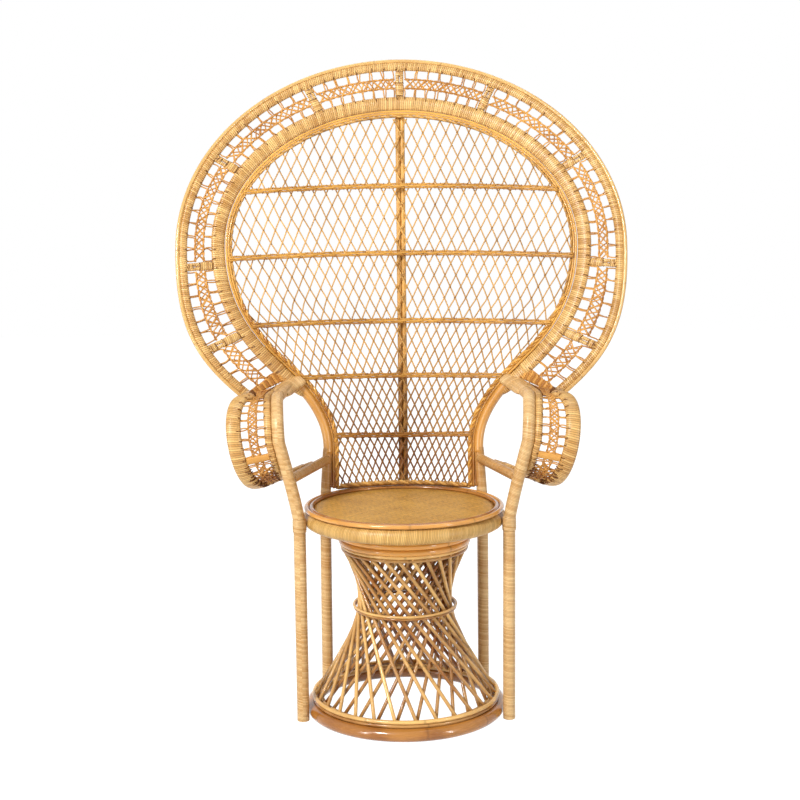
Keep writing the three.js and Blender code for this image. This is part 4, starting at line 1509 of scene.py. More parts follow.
@dataclass
class Back:
    """What fills the keyhole: trim rods, lattice, stake, crossbars and the neck's poles."""

    finishes: Finishes
    keyhole: Keyhole
    inner_inset: float
    trim_radius: float = 2.6
    trim_pitch: float = 5.7
    trim_depth: float = 3.4
    trim: Section = pole(5.5, 10)
    trim_tones: tuple = (0.8, 1.0)
    front_trim: Rope = Rope(1.9, 1.4, 27, (0.95, 0.35))
    rear_trim: Section = pole(5.2, 8, 0.1)
    braid_rope: Rope = Rope(3.0, 2.5, 30, (0.8, 0.1))
    braid_inset: float = 5.4
    braid_forward: float = 4.6
    braid_start_share: float = 1.4
    # Dark rod down the neck behind the braid: painted shade in the gap there.
    shade_rod: Section = pole(9, 12, -0.1)
    shade_rod_overlap: float = 0.5
    shade_rod_back: float = 3.5
    shade_rod_start_share: float = 1.8
    # Painted shade: tones by height that darken the back's canes towards the seat.
    painted_low_shade_levels: tuple = (480, 640, 800, 1000)
    painted_low_shade_tones: tuple = (-0.1, 0.25, 0.7, 0.95)
    diamond_levels: tuple = (475, 530, 660, 790, 900, 1100, 1330)
    diamond_widths: tuple = (15.5, 16.5, 18.5, 22, 25, 27, 27)
    diamond_rises: tuple = (34, 36, 39, 46, 52, 56, 56)
    lattice_clear: float = 3
    weave_lift: float = 1.35
    weave_stand_off: float = 0.25
    reed_levels: tuple = (600, 900)
    reed_radii: tuple = (2.0, 1.6)
    reed_tones: tuple = (0.65, 1.05)
    tie_clear: float = 5
    tie_halves: tuple = (1.1, 1.9)
    tie_tilt: float = 0.5
    tie_forward: float = 0.5
    tie_radius: float = 2.2
    tie_tones: tuple = (-0.2, 0.2)
    rope: Rope = Rope(3.4, 2.4, 30, (0.8, 0.2))
    rope_rise: float = 3.5
    rope_forward: float = 7.0
    stake_half_gap: float = 5.3
    stake_behind: float = 5.6
    stake_overrun: float = 8
    stake: Section = Section(11, 9.4, 10)
    stake_fade: float = 0.75
    stake_tones: tuple = (-0.02, 0.22)
    bar_shares: tuple = (0.797, 0.619, 0.44, 0.296, 0.139)
    bar_rise: float = 12
    bar_overrun: float = 7
    bar_levels: tuple = (-3.9, 0.0, 3.9)
    bar_tones: tuple = (0.35, 0.75, 0.5)
    bar: Section = pole(4.3, 8)
    bar_forward: float = 9.9
    bar_wave: float = 0.5
    bar_wave_length: float = 6.5
    notch_pitch: float = 13.5
    notch_gap: float = 4.0
    notch_ends: tuple = (12, 8)
    notch_drops: tuple = (3.4, 5.2, 6.6)
    notch_forwards: tuple = (12.2, 11.2, 9.0)
    notch_radius: float = 0.9
    notch_tone: float = -0.4
    neck_pole: Section = pole(21, 16, 0.8)
    neck_pole_inset: float = 9.0
    neck_start_share: float = 0.25
    neck_extra: int = 5

    def build(self) -> None:
        """Builds every piece inside the border."""
        self.build_trims()
        self.build_lattice()
        self.build_stake()
        self.build_bars()
        self.build_neck()

    def trim_loop(self, inset: float, forward: float) -> Line:
        """Closed keyhole line at an inset, with its bottom run on the sheet.

        Args:
            inset: Distance from the inner edge.
            forward: Height over the sheet.

        Returns:
            The loop.
        """
        line = self.keyhole.strip.from_inner(inset, forward)
        x = np.linspace(line.points[-1, 0], line.points[0, 0], 62)[1:-1]
        bottom = self.keyhole.sheet.line(x, line.points[0, 2], forward)
        return Line(np.vstack([line.points, bottom.points]), np.vstack([line.facing, bottom.facing]), True)

    def build_trims(self) -> None:
        """Two bright rods inside the inner band; down the neck a twisted pair and a dark rod more, whose dark
        tone is painted shade in the gap behind the braid.
        """
        keyhole, trim = self.keyhole, self.finishes.trim
        strip = keyhole.strip
        for number, (name, share) in enumerate(zip(("middle", "outer"), self.trim_tones), 1):
            line = strip.from_inner(self.trim_radius + number * self.trim_pitch, self.trim_depth).even(7)
            # Painted shade: the trims darken towards the seat.
            skin = self.trim.skin(line, self.age(line.points[:, 2]) * share)
            make_piece(f"trim_{name}", [skin], trim, f"trim_rod_{name}")
        down = lambda share: slice(keyhole.station(share), -1)
        run = strip.from_inner(self.braid_inset, self.braid_forward, down(self.braid_start_share))
        inset = self.inner_inset - self.shade_rod_overlap
        beside = strip.from_inner(inset, -self.shade_rod_back, down(self.shade_rod_start_share))
        for name, side in SIDES.items():
            braid = self.braid_rope.skins(run.flipped(side).even(2.5))
            # Painted shade: the dark rod fills the gap behind the braid.
            dark = self.shade_rod.skin(beside.flipped(side).even(6))
            make_piece(f"neck_braid_{name}", braid + [dark], trim)

    def age(self, z: Amount) -> Array:
        """Painted shade by height: the reeds, trims, stake and bars are darker towards the seat."""
        return np.interp(z, self.painted_low_shade_levels, self.painted_low_shade_tones)

    def diamonds(self) -> tuple[Array, Array, Array, Array]:
        """Heights, and at each the strand pitch, the summed phase and the opening's half width.

        The phase is the sum of dz / rise, where rise is the height of a diamond.

        Returns:
            Heights, pitches, phases and half widths.
        """
        keyhole = self.keyhole
        z = np.linspace(keyhole.bottom, keyhole.opening_top - self.lattice_clear, 900)
        pitch, rise = (np.interp(z, self.diamond_levels, sizes)
                       for sizes in (self.diamond_widths, self.diamond_rises))
        phase = np.concatenate([[0], np.cumsum(np.diff(z) / ((rise[1:] + rise[:-1]) / 2))])
        return z, pitch, phase, keyhole.opening_reach(z, self.trim_radius)

    def lattice_lines(self, sign: int) -> list[Line]:
        """Lines of one layer of strands.

        Strand k lies at x = pitch * (k + 0.5 + sign * phase), and it weaves forward by
        sign * (lift * cos(2 pi phase) + stand-off).

        Args:
            sign: 1 or -1, the way that the strands lean.

        Returns:
            The part of each strand that lies in the opening.
        """
        z, pitch, phase, reach = self.diamonds()
        strands, fewest = [], 12
        for k in range(-45, 46):
            x = pitch * (k + 0.5 + sign * phase)
            inside = np.abs(x) < reach
            edges = np.flatnonzero(np.diff(np.concatenate([[False], inside, [False]]).astype(int)))
            for low, high in zip(edges[::2], edges[1::2] - 1):
                if high - low < fewest:
                    continue
                pick = np.unique(np.linspace(low, high, max((high - low) // 9, 4)).astype(int))
                forward = sign * (self.weave_lift * np.cos(2 * np.pi * phase[pick]) + self.weave_stand_off)
                strands.append(self.keyhole.sheet.line(x[pick], z[pick], forward))
        return strands

    def ties(self) -> Skin:
        """Small dark ties where strands cross, which is where twice the phase is whole.

        Returns:
            The ties.
        """
        sheet, (z, pitch, phase, reach) = self.keyhole.sheet, self.diamonds()
        halves = np.arange(1, int(2 * phase[-1]) + 1)[:, None]
        height = np.interp(halves / 2, phase, z)
        x = (np.arange(-60, 61)[None, :] + 0.5 + halves / 2) * np.interp(height, z, pitch)
        inside = np.abs(x) < np.interp(height, z, reach) - self.tie_clear
        x, height = x[inside][:, None], np.broadcast_to(height, inside.shape)[inside][:, None]
        rng = np.random.default_rng(3)
        half = rng.uniform(*self.tie_halves, x.shape) * np.array([[-1.0, 0.0, 1.0]])
        tilt = rng.normal(0, self.tie_tilt, x.shape)
        points = sheet.at(x + half, height + half * tilt, self.tie_forward)
        tones = rng.uniform(*self.tie_tones, len(x))
        return tubes(points, sheet.facing(x + half, height), self.tie_radius, 6, tones)

    def build_lattice(self) -> None:
        """Two leaning layers of thin reeds woven through each other, and the trim they are tied to."""
        rng = np.random.default_rng(21)
        for name, sign in (("front", 1), ("rear", -1)):
            skins = []
            for line in self.lattice_lines(sign):
                z = line.points[:, 2]
                # Painted shade: each reed darkens towards the seat, times its own random tone.
                skins.append(tubes(line.points[None], line.facing[None],
                                   np.interp(z, self.reed_levels, self.reed_radii)[None], 6,
                                   (self.age(z) * rng.uniform(*self.reed_tones))[None]))
            loop = self.trim_loop(self.trim_radius, sign * self.trim_depth).even(5)
            if sign > 0:
                skins += self.front_trim.skins(loop) + self.bottom_rope() + [self.ties()]
            else:
                skins.append(self.rear_trim.skin(loop))
            make_piece(f"reeds_{name}", skins, self.finishes.strand, f"lattice_{name}")

    def bottom_rope(self) -> list[Skin]:
        """Thick laid rope along the bottom of the lattice, over the back of the seat.

        Returns:
            Its canes.
        """
        half = self.keyhole.sheet.neck_half - 1
        x = np.linspace(-half, half, 180)
        line = self.keyhole.sheet.line(x, self.keyhole.bottom + self.rope_rise, self.rope_forward)
        return self.rope.skins(line.even(2.5))

    def build_stake(self) -> None:
        """Paired poles up the middle, behind the lattice."""
        z = np.linspace(self.keyhole.bottom, self.keyhole.opening_top + self.stake_overrun, 60)
        behind = -(self.trim_depth + self.trim_radius + self.stake_behind)
        skins = []
        for side, tone in zip((-1, 1), self.stake_tones):
            line = Line.one_way(self.keyhole.sheet.at(side * self.stake_half_gap, z, behind), FRONT)
            # Painted shade: the stake darkens towards the seat.
            skins.append(self.stake.skin(line, self.age(z) * self.stake_fade + tone))
        make_piece("middle_stake", skins, self.finishes.stake, "centre_stake")

    def build_bars(self) -> None:
        """Bars of three canes each, in front of the lattice: the upper ones arch, the lower ones sag.

        A bar lies at height + rise * (1 - (x / half)^2).
        """
        keyhole, sheet = self.keyhole, self.keyhole.sheet
        heights = keyhole.bottom + np.array(self.bar_shares) * (keyhole.opening_top - keyhole.bottom)
        level_at = keyhole.neck_top + keyhole.neck_rise
        for number, height in enumerate(heights, 1):
            half = float(keyhole.opening_reach(height, self.trim_radius)) + self.bar_overrun
            rise = self.bar_rise * (height - level_at) / (heights[0] - level_at)
            arch = lambda x: height + rise * (1 - (x / half) ** 2)
            x, skins = np.linspace(-half, half, 160), []
            for level, share in zip(self.bar_levels, self.bar_tones):
                turn = x / self.bar_wave_length + level
                points = sheet.at(x, arch(x) + level + self.bar_wave * np.sin(turn),
                                  self.bar_forward + self.bar_wave * np.cos(turn))
                line = Line(points, sheet.facing(x, height))
                # Painted shade: the bars darken towards the seat.
                skins.append(self.bar.skin(line, share * float(self.age(height))))
            skins.append(self.notches(arch, half))
            make_piece(f"bar_{number}", skins, self.finishes.bar, f"crossbar_{number}")

    def notches(self, arch: Curve, half: float) -> Skin:
        """Short dark ties over both edges of a bar, in pairs between the strands.

        Args:
            arch: Height of the bar at each x.
            half: Half width of the bar.

        Returns:
            The ties.
        """
        first, last = self.notch_ends
        places = np.arange(-half + first, half - last, self.notch_pitch)
        x = np.concatenate([places, places + self.notch_gap])[:, None]
        side = np.where(np.arange(len(x)) % 2 == 0, 1.0, -1.0)[:, None]
        z = arch(x) + side * np.array(self.notch_drops)
        sheet = self.keyhole.sheet
        points = sheet.at(x, z, np.array(self.notch_forwards))
        return tubes(points, sheet.facing(x, z), self.notch_radius, 5, np.full(len(x), self.notch_tone))

    def build_neck(self) -> None:
        """Smooth brown poles from the wrapped band down to the rear legs."""
        keyhole = self.keyhole
        part = slice(keyhole.neck_station(self.neck_start_share), keyhole.neck_station(1) + self.neck_extra)
        line = keyhole.strip.from_inner(self.inner_inset + self.neck_pole_inset, 0, part).even(6)
        for name, side in SIDES.items():
            make_piece(f"neck_{name}", [self.neck_pole.skin(line.flipped(side))], self.finishes.neck,
                       f"neck_pole_{name}")


@dataclass
class Legs:
    """Front posts that turn back over the arms, rear legs, and the side rails between them."""

    finishes: Finishes
    keyhole: Keyhole
    inner_inset: float
    leg: Section = pole(28, 16, winding=Winding(3.0, 0.45, 0.1))
    circle_radius: float = 239.0
    front_angle: float = math.radians(-18)
    lean_start: float = 446
    top_spread: float = 40
    bend: float = 1.15
    arm_top: float = 710
    curl_radius: float = 86
    post_x: float = 276
    post_start_x: float = 264
    post_start_drop: float = -2
    post_share: float = 0.97
    lean_clear: float = 40
    stand_off: float = 10.5
    rear_turn: float = math.pi / 10
    rear_gap: float = 0.3
    rear_foot: float = 0.2
    rear_tuck: float = 1.5
    rear_bend_below: float = 30
    rear_bend_share: float = 0.2
    rear_top_inset: float = 9.6
    rear_levels: tuple = (0, 440, 500, 556, 565)
    rear_shares: tuple = (0.93, 0.93, 0.84, 0.81, 0.76)
    side_radius: float = 10.5
    side: Section = pole(22.5, 14, winding=Winding(3.0, 0.45, 0.1))
    side_drop: tuple = (169, 170)
    side_shares: tuple = (0.05, 0.97)
    joint: Section = Section(44, 18, 18, 0.85, winding=Winding(3.0, 0.45, 0.1))
    joint_end_share: float = 0.74
    joint_insets: tuple = (6, 27)
    joint_rises: tuple = (4, 15)
    joint_forwards: tuple = (9.5, 6.0)
    joint_facing: tuple = (-0.2, -0.5, 1.0)
    # Painted shade: the rear legs above the seat and the side rails are drawn darker.
    painted_shade_levels: tuple = (455, 500)
    rear_painted_shade: float = -0.3
    side_painted_shade: float = -0.1
    collar_below: float = 23
    collar_above: float = 9
    collar_fall: float = 0.12
    collar: Section = pole(31, 16, winding=Winding(4.2, 0.8, 0.5))

    def __post_init__(self) -> None:
        """Foot of the right front post, and the height where it starts to turn back."""
        self.foot = self.circle_radius * np.array([math.cos(self.front_angle), math.sin(self.front_angle)])
        self.post_top = self.arm_top - self.curl_radius

    def post_at(self, height: Amount) -> Array:
        """Middle of the right post at a height.

        Above the lean's start it moves out by spread * lean^bend and forward or back
        evenly, where lean is the share of the way up to the arm's curl.

        Args:
            height: Height above the floor.

        Returns:
            The points.
        """
        lean = np.clip((height - self.lean_start) / (self.post_top - self.lean_start), 0, None)
        return stacked(self.foot[0] + self.top_spread * lean ** self.bend,
                       self.foot[1] + (-self.curl_radius - self.foot[1]) * lean, height)

    def curl(self, turn: Array) -> Array:
        """Middle of the post as it turns back over the arm: a quarter circle, 0 on top.

        Args:
            turn: Angle from the top.

        Returns:
            The points.
        """
        x_low = self.foot[0] + self.top_spread
        return stacked(self.post_x + (x_low - self.post_x) * turn / (np.pi / 2),
                       -self.curl_radius * np.sin(turn), self.arm_top - self.curl_radius * (1 - np.cos(turn)))

    def on_back_front(self, x: float, z: float) -> Array:
        """Point that stands off the back sheet by the stand-off, measured along y."""
        sheet = self.keyhole.sheet
        return np.array([x, sheet.depth(x, z) + self.stand_off / sheet.facing(x, z)[1], z])

    def post_line(self) -> Line:
        """Middle line of the right post from the floor to the border.

        Returns:
            The line.
        """
        leaning = np.linspace(self.lean_start - self.lean_clear, self.post_top, 40)[:-1]
        turn = self.curl(np.linspace(np.pi / 2, 0, 30))
        end = self.on_back_front(self.post_start_x, self.arm_top - self.post_start_drop)
        run = between(turn[-1], end, np.linspace(0, 1, 12)[1:])
        return Line.one_way(np.vstack([self.post_at(np.append(0, leaning)), turn, run]), (-1.0, 0.0, 0.0))

    def rear_points(self) -> Array:
        """Foot, knee and top of the right rear leg.

        Returns:
            The three points.
        """
        keyhole = self.keyhole
        corner = self.leg.width / 2 / math.cos(self.rear_turn)
        x = keyhole.sheet.neck_half + self.inner_inset + corner + self.rear_gap
        y = math.sqrt(self.circle_radius ** 2 - x ** 2)
        top = keyhole.strip.from_inner(self.inner_inset + self.rear_top_inset).points[keyhole.neck_station(1)]
        return np.array([[x, y, self.rear_foot], [x - self.rear_tuck, y, self.lean_start], top])

    def rear_line(self) -> Line:
        """Middle line of the right rear leg, with its knee rounded.

        Returns:
            The line.
        """
        foot, knee, top = self.rear_points()
        below, above = knee - [0, 0, self.rear_bend_below], knee + (top - knee) * self.rear_bend_share
        return Line.one_way(rounded(np.array([[foot, below, above, top]]), 3)[0], FRONT)

    def side_ends(self) -> Array:
        """Ends of the right side rail: in the post and in the rear leg.

        Returns:
            The two ends.
        """
        front = self.post_at(self.arm_top - self.side_drop[0])
        _, knee, top = self.rear_points()
        rise = self.arm_top - self.side_drop[1] - self.lean_start
        return np.array([front, knee + (top - knee) * rise / (self.keyhole.neck_top - self.lean_start)])

    def side_point(self, depth: float) -> Array:
        """Point of the side rail at a depth."""
        front, rear = self.side_ends()
        return front + (rear - front) * (depth - front[1]) / (rear[1] - front[1])

    def joint_line(self) -> Line:
        """Middle line of the wound joint from the top of the right post to the neck's edge.

        Returns:
            The line.
        """
        x = self.post_start_x - np.array(self.joint_insets)
        z = self.arm_top + np.array(self.joint_rises)
        patch = self.keyhole.sheet.at(x, z, np.array(self.joint_forwards))
        points = np.vstack([self.post_line().points[-8:-1], patch])
        return Line.one_way(rounded(points[None], 3)[0], self.joint_facing)

    def build(self) -> None:
        """Builds posts, rear legs, side rails and the wound joints on both sides."""
        side_rail = between(*self.side_ends(), np.linspace(*self.side_shares, 30))
        lines = {"front_post": self.post_line(), "rear_leg": self.rear_line(),
                 "side_rail": Line.one_way(side_rail, UP), "joint": self.joint_line()}
        feet = (np.append(self.foot, 0.0), self.rear_points()[0])
        for name, side in SIDES.items():
            for label, line in lines.items():
                line = self.leg.winding.divided(line.flipped(side))
                section, swell = self.section(label, line)
                nodes = [] if label == "joint" else [f"{label}_{name}"]
                # The tone carries the painted shade of the rear legs and the side rails.
                make_piece(f"wound_{label}_{name}", [section.skin(line, self.shade(label, line), swell)],
                           self.finishes.leg, *nodes)
            make_piece(f"seat_bindings_{name}", [self.binding(on_side(foot, side)) for foot in feet],
                       self.finishes.leg)

    def shade(self, label: str, line: Line) -> Array:
        """Painted shade along a wound piece: the side rails and the rear legs above the seat are darker and
        browner.
        """
        above = {"rear_leg": self.rear_painted_shade, "side_rail": self.side_painted_shade}.get(label, 0.5)
        return np.interp(line.points[:, 2], self.painted_shade_levels, [0.5, above])

    def binding(self, foot: Array) -> Skin:
        """Extra turns round a leg where it is bound to the seat ring, proud of its windings.

        Their size is 1 - fall * e^6, where e runs from -1 to 1 up the collar.

        Args:
            foot: Foot of the leg.

        Returns:
            The turns.
        """
        height = np.linspace(self.lean_start - self.collar_below, self.lean_start + self.collar_above, 60)
        swell = 1 - self.collar_fall * np.linspace(-1, 1, len(height)) ** 6
        return self.collar.skin(Line.one_way(stacked(foot[0], foot[1], height), FRONT), swell=swell)

    def section(self, label: str, line: Line) -> tuple[Section, Array]:
        """Section of a wound piece and its size along the line.

        Args:
            label: Which piece.
            line: Its evenly divided line.

        Returns:
            The section, and the share of its size at each ring.
        """
        count, height = len(line.points), line.points[:, 2]
        if label == "side_rail":
            return self.side, np.ones(count)
        if label == "joint":
            middle = (1 - np.linspace(-1, 1, count) ** 2) ** 0.5
            return self.joint, self.joint_end_share + (1 - self.joint_end_share) * middle
        if label == "rear_leg":
            return self.leg, np.interp(height, self.rear_levels, self.rear_shares)
        return self.leg, np.full(count, self.post_share)


@dataclass
class Arms:
    """Laced arms that run forward, scroll down and return under to the side rail.

    The width of a rail's section is not used, as its widths follow the strip.
    """

    finishes: Finishes
    legs: Legs
    outer_x: float = 356
    outer_flare: float = 36
    flare_power: float = 0.6
    outer_tuck: float = 36
    outer_curl: float = 99
    leg_share: float = 1.05
    rail_gap: float = 0.9
    start_drop: float = 8
    outer_width: float = 32
    outer_gap: float = 0.3
    inner_width: float = 14
    inner_overhang: float = 1.4
    rail: Section = Section(1, 16, 16, 0.85, winding=Winding(4.4, 0.75, 0.12))
    return_depth: float = 112
    return_spread: float = 34
    return_sag: float = 10
    side_share: float = 1.08
    side_gap: float = 0.3
    run_count: int = 30
    scroll_count: int = 90
    spar_share: float = 0.6
    spar: Sleeve = Sleeve(-0.02, 1.02, 17, 11, samples=50, fall=0.0, tone=0.8)
    lacing: Lacing = field(default_factory=lambda: Lacing(pitch=20.5, radius=1.5, spread=1.2))
    lacing_start: float = 8
    dense_start: float = 2
    dense_length: float = 84
    dense_overrun: float = 6
    dense_pitch: float = 6.5
    dense_shares: tuple = (-0.02, 1.02)
    dense_sway: float = 3.2
    dense_waves: int = 6
    dense_radius: float = 1.9
    dense_tones: tuple = (-0.5, 0.9)
    catch_reaches: tuple = (10, 6)
    strokes: Catches = field(default_factory=lambda: Catches(radius=1.2, beside=1.5))
    stroke_reaches: tuple = (15, 9)
    stroke_inset: float = 2
    stroke_start: float = 34
    stroke_stop: float = 96
    stroke_pitch: float = 7.5

    def edges(self, turn: Array) -> tuple[Array, Array]:
        """Outer and inner edge at a turn round the scroll, 0 on top and pi at the bottom.

        Args:
            turn: Angle from the top.

        Returns:
            The two edges.
        """
        legs = self.legs
        flare = self.outer_flare * np.abs(np.sin(turn)) ** self.flare_power
        outer = stacked(self.outer_x + flare - self.outer_tuck * (1 - np.cos(turn)) / 2,
                        -self.outer_curl * np.sin(turn), legs.arm_top - self.outer_curl * (1 - np.cos(turn)))
        inner = legs.curl(turn)
        low = inner[:, 2] < legs.post_top
        inner[low, 0] = legs.post_at(inner[:, 2])[low, 0]
        inner[:, 0] += self.beside_leg()
        return outer, inner

    def beside_leg(self) -> float:
        """Distance of the arm's inner edge from the middle of the post."""
        return self.legs.leg.width / 2 * self.leg_share + self.rail_gap

    def strip(self) -> Strip:
        """Strip of the right arm: run, scroll and return.

        Returns:
            The strip, whose facing is its inward way crossed with its run: out of the scroll.
        """
        legs = self.legs
        edges = self.edges(np.linspace(0, np.pi, self.scroll_count))
        inner_x, inner_z = legs.post_start_x + self.beside_leg(), legs.arm_top - legs.post_start_drop
        starts = (legs.on_back_front(float(legs.keyhole.end[0]), legs.arm_top - self.start_drop),
                  legs.on_back_front(inner_x, inner_z))
        side = np.array([legs.side_radius * self.side_share + self.side_gap, 0, 0])
        end_inner = legs.side_point(self.return_depth) + side
        ends = (end_inner + np.array([self.return_spread, 0, -self.return_sag]), end_inner)
        share = np.linspace(0, 1, self.run_count)
        outer, inner = (
            np.vstack([between(start, edge[0], share[:-1]), edge, between(edge[-1], end, share[1:])])
            for start, edge, end in zip(starts, edges, ends))
        return Strip(outer, inner, unit(np.cross(inner - outer, np.gradient(outer + inner, axis=0))))

    def build(self) -> None:
        """Builds the rails, lacing, spar and dense weave of both arms."""
        right = self.strip()
        for name, side in SIDES.items():
            parts = (on_side(part, side) for part in (right.outer, right.inner, right.facing))
            self.build_side(name, Strip(*parts))

    def build_side(self, name: str, strip: Strip) -> None:
        """Builds one arm on its strip.

        Args:
            name: Name of the side.
            strip: Strip of that arm.
        """
        lacing, overhang = self.lacing, self.inner_overhang
        near = np.minimum(self.outer_width, strip.width / 2 - self.outer_gap)
        far = np.minimum(self.inner_width, strip.width / 3)
        for label, line, width in (("outer", strip.from_outer(near / 2), near),
                                   ("inner", strip.from_inner(far / 2 - overhang), far + 2 * overhang)):
            make_piece(f"arm_{label}_{name}", [self.rail.band(line, width)], self.finishes.band,
                       f"arm_{label}_rail_{name}")
        first, last = self.lacing_start, strip.length[self.run_count + self.scroll_count - 2]
        stop = strip.length[int(self.run_count - 1 + self.scroll_count * self.spar_share)]
        lace = strip.laced(near, far)
        skins = lacing.skins(lace, first, last) + [
            self.dense(lace, self.dense_start, self.dense_length),
            self.dense(lace, last - self.dense_length, last + self.dense_overrun), self.spar.skin(lace, stop)]
        make_piece(f"arm_lace_of_{name}", skins, self.finishes.lace, f"arm_lace_{name}")
        tight = np.concatenate([np.arange(self.stroke_start, self.stroke_stop, self.stroke_pitch),
                                np.arange(last - self.stroke_stop, last, self.stroke_pitch)])
        skins = []
        # Painted shade: dark slits where the rungs go into the rails' winding, and dark strokes by the dense
        # weave.
        for way, width, catch, stroke in zip((strip, strip.turned()), (float(near.max()), float(far.max())),
                                             self.catch_reaches, self.stroke_reaches):
            skins += [Catches().skin(way, lacing.rungs(first, last), width, -catch, self.rail.height),
                      self.strokes.skin(way, tight, width + self.stroke_inset, -stroke, self.rail.height)]
        make_piece(f"arm_slit_shade_{name}", skins, self.finishes.slit)

    def dense(self, strip: Strip, first: float, last: float) -> Skin:
        """Closely woven canes that fill the strip between two lengths.

        Rows of canes run across at an even pitch, each swaying along the strip by
        sway * sin(2 pi share) and waving over and under by sin(pi * share * waves + row * pi).

        Args:
            strip: The laced strip.
            first: Where the canes start.
            last: Where they end.

        Returns:
            The canes.
        """
        rows = int((last - first) / self.dense_pitch)
        share = np.linspace(*self.dense_shares, 25)
        length = np.linspace(first, last, rows)[:, None] + self.dense_sway * np.sin(2 * np.pi * share)
        wave = self.dense_radius * np.sin(np.pi * share * self.dense_waves + np.pi * np.arange(rows)[:, None])
        tones = np.random.default_rng(5).uniform(*self.dense_tones, rows)
        return tubes(*strip.place(stacked(length, share, wave)), self.dense_radius, 6, tones)


@dataclass
class Pedestal:
    """Hourglass of two layers of crossed rods between hoops, tied at its waist."""

    finishes: Finishes
    foot_ring_radius: float = 209.4
    foot_middle: float = 14.1
    foot: Section = Section(29.2, 28.2, 20, tone=0.2)
    hoop_radius: float = 205
    hoop_rise: float = 36.3
    hoop_cane: float = 4.5
    hoop_tube: float = 9
    inner_hoop_tube: float = 5.6
    inner_hoop: Section = pole(11, 10)
    layer_gap: float = 15
    rod_radius: float = 4.0
    rods: int = 28
    twist_steps: int = 8
    bow: float = 0.5
    outer_tones: tuple = (0, 1)
    # The inner layer's tones run lower: painted shade inside the hourglass, over a random spread of tones.
    inner_shaded_tones: tuple = (-0.4, 0.5)
    top_radius: float = 138
    top_height: float = 376.97
    top_cane: float = 4.0
    top_tube: float = 8
    top_gap: float = 0.3
    waist_radius: float = 113.0
    waist_height: float = 240
    waist_cane: float = 2.8
    pair_lean: float = 0.8
    pair_width: float = 2.2
    pair_tones: tuple = (0.05, 0.75)
    ring_radius: float = 140
    ring_flare: float = 14
    ring_bottom: float = 384.2
    ring_stack: float = 41
    ring_width: float = 14.2
    ring_bite: float = 0.2
    ring_step: float = 1.5
    ring_tones: tuple = (1.0, 1.3, 0.8)

    def rod_paths(self, foot: tuple, head: tuple, side: int) -> Array:
        """Paths of one layer of rods, each straight with a slight bow of its own.

        A rod runs from angle a on its foot hoop to a + side * twist on its head hoop, and
        bows by a random millimetre or two times sin(pi * share)^2.

        Args:
            foot: Radius and height of the foot hoop.
            head: Those of the head hoop.
            side: 1 or -1, the way that the rods lean.

        Returns:
            The paths.
        """
        rng = np.random.default_rng(30 + side)
        angle = angles(self.rods, 0.5)
        twist = side * self.twist_steps * 2 * np.pi / self.rods
        low, high = round_axis(foot[0], angle, foot[1]), round_axis(head[0], angle + twist, head[1])
        share = np.linspace(0, 1, 14)[None, :, None]
        bow = rng.normal(0, self.bow, (self.rods, 1, 3)) * np.sin(np.pi * share) ** 2
        return low[:, None] + (high - low)[:, None] * share + bow

    def build(self) -> None:
        """Builds the foot ring, both layers, the waist tie and the ring on top."""
        rods, poles = self.finishes.rod, self.finishes.pole
        foot = self.foot.skin(circle(self.foot_ring_radius, self.foot_middle))
        make_piece("foot_ring", [foot], poles, "base_ring")
        rng = np.random.default_rng(8)
        outer_foot, outer_head = (self.hoop_radius, self.hoop_rise), (self.top_radius, self.top_height)
        inner_rise = self.hoop_rise - self.hoop_tube + self.inner_hoop_tube
        inner_foot = (self.hoop_radius - self.layer_gap, inner_rise)
        inner_head = (self.top_radius - self.top_tube - self.rod_radius - self.top_gap, self.top_height)
        pairs = self.paired_hoop(*outer_foot, self.hoop_cane) + self.paired_hoop(*outer_head, self.top_cane)
        inner_hoop = [self.inner_hoop.skin(circle(*inner_foot))]
        for name, hoops, ends, side, tones in (
                ("outer", pairs, (outer_foot, outer_head), -1, self.outer_tones),
                ("inner", inner_hoop, (inner_foot, inner_head), 1, self.inner_shaded_tones)):
            # The inner rods' lower tones are painted shade.
            shades = rng.uniform(*tones, self.rods)
            layer = tubes(self.rod_paths(*ends, side), np.array(UP), self.rod_radius, 9, shades)
            make_piece(f"rods_{name}", hoops + [layer], rods, f"spokes_{name}")
        waist = self.paired_hoop(self.waist_radius, self.waist_height, self.waist_cane)
        make_piece("waist_tie", waist, rods, "waist_ring")
        tube = self.ring_stack / 6
        section, rings = Section(self.ring_width, 2 * tube + self.ring_bite, 14), []
        for level, (out, tone) in enumerate(zip((0.0, self.ring_step, self.ring_flare), self.ring_tones)):
            line = circle(self.ring_radius + out, self.ring_bottom + tube * (2 * level + 1))
            rings.append(section.skin(line, tone))
        make_piece("top_rings", rings, poles, "pedestal_ring")

    def paired_hoop(self, radius: float, height: float, cane: float) -> list[Skin]:
        """Two rods of a hoop, one on the other, each of the given radius.

        Args:
            radius: Radius of the hoop.
            height: Height of its middle.
            cane: Radius of a rod.

        Returns:
            Both rods.
        """
        section = Section(self.pair_width * cane, 2 * cane, 10)
        return [section.skin(circle(radius + side * self.pair_lean, height + side * cane), tone)
                for side, tone in zip((-1, 1), self.pair_tones)]


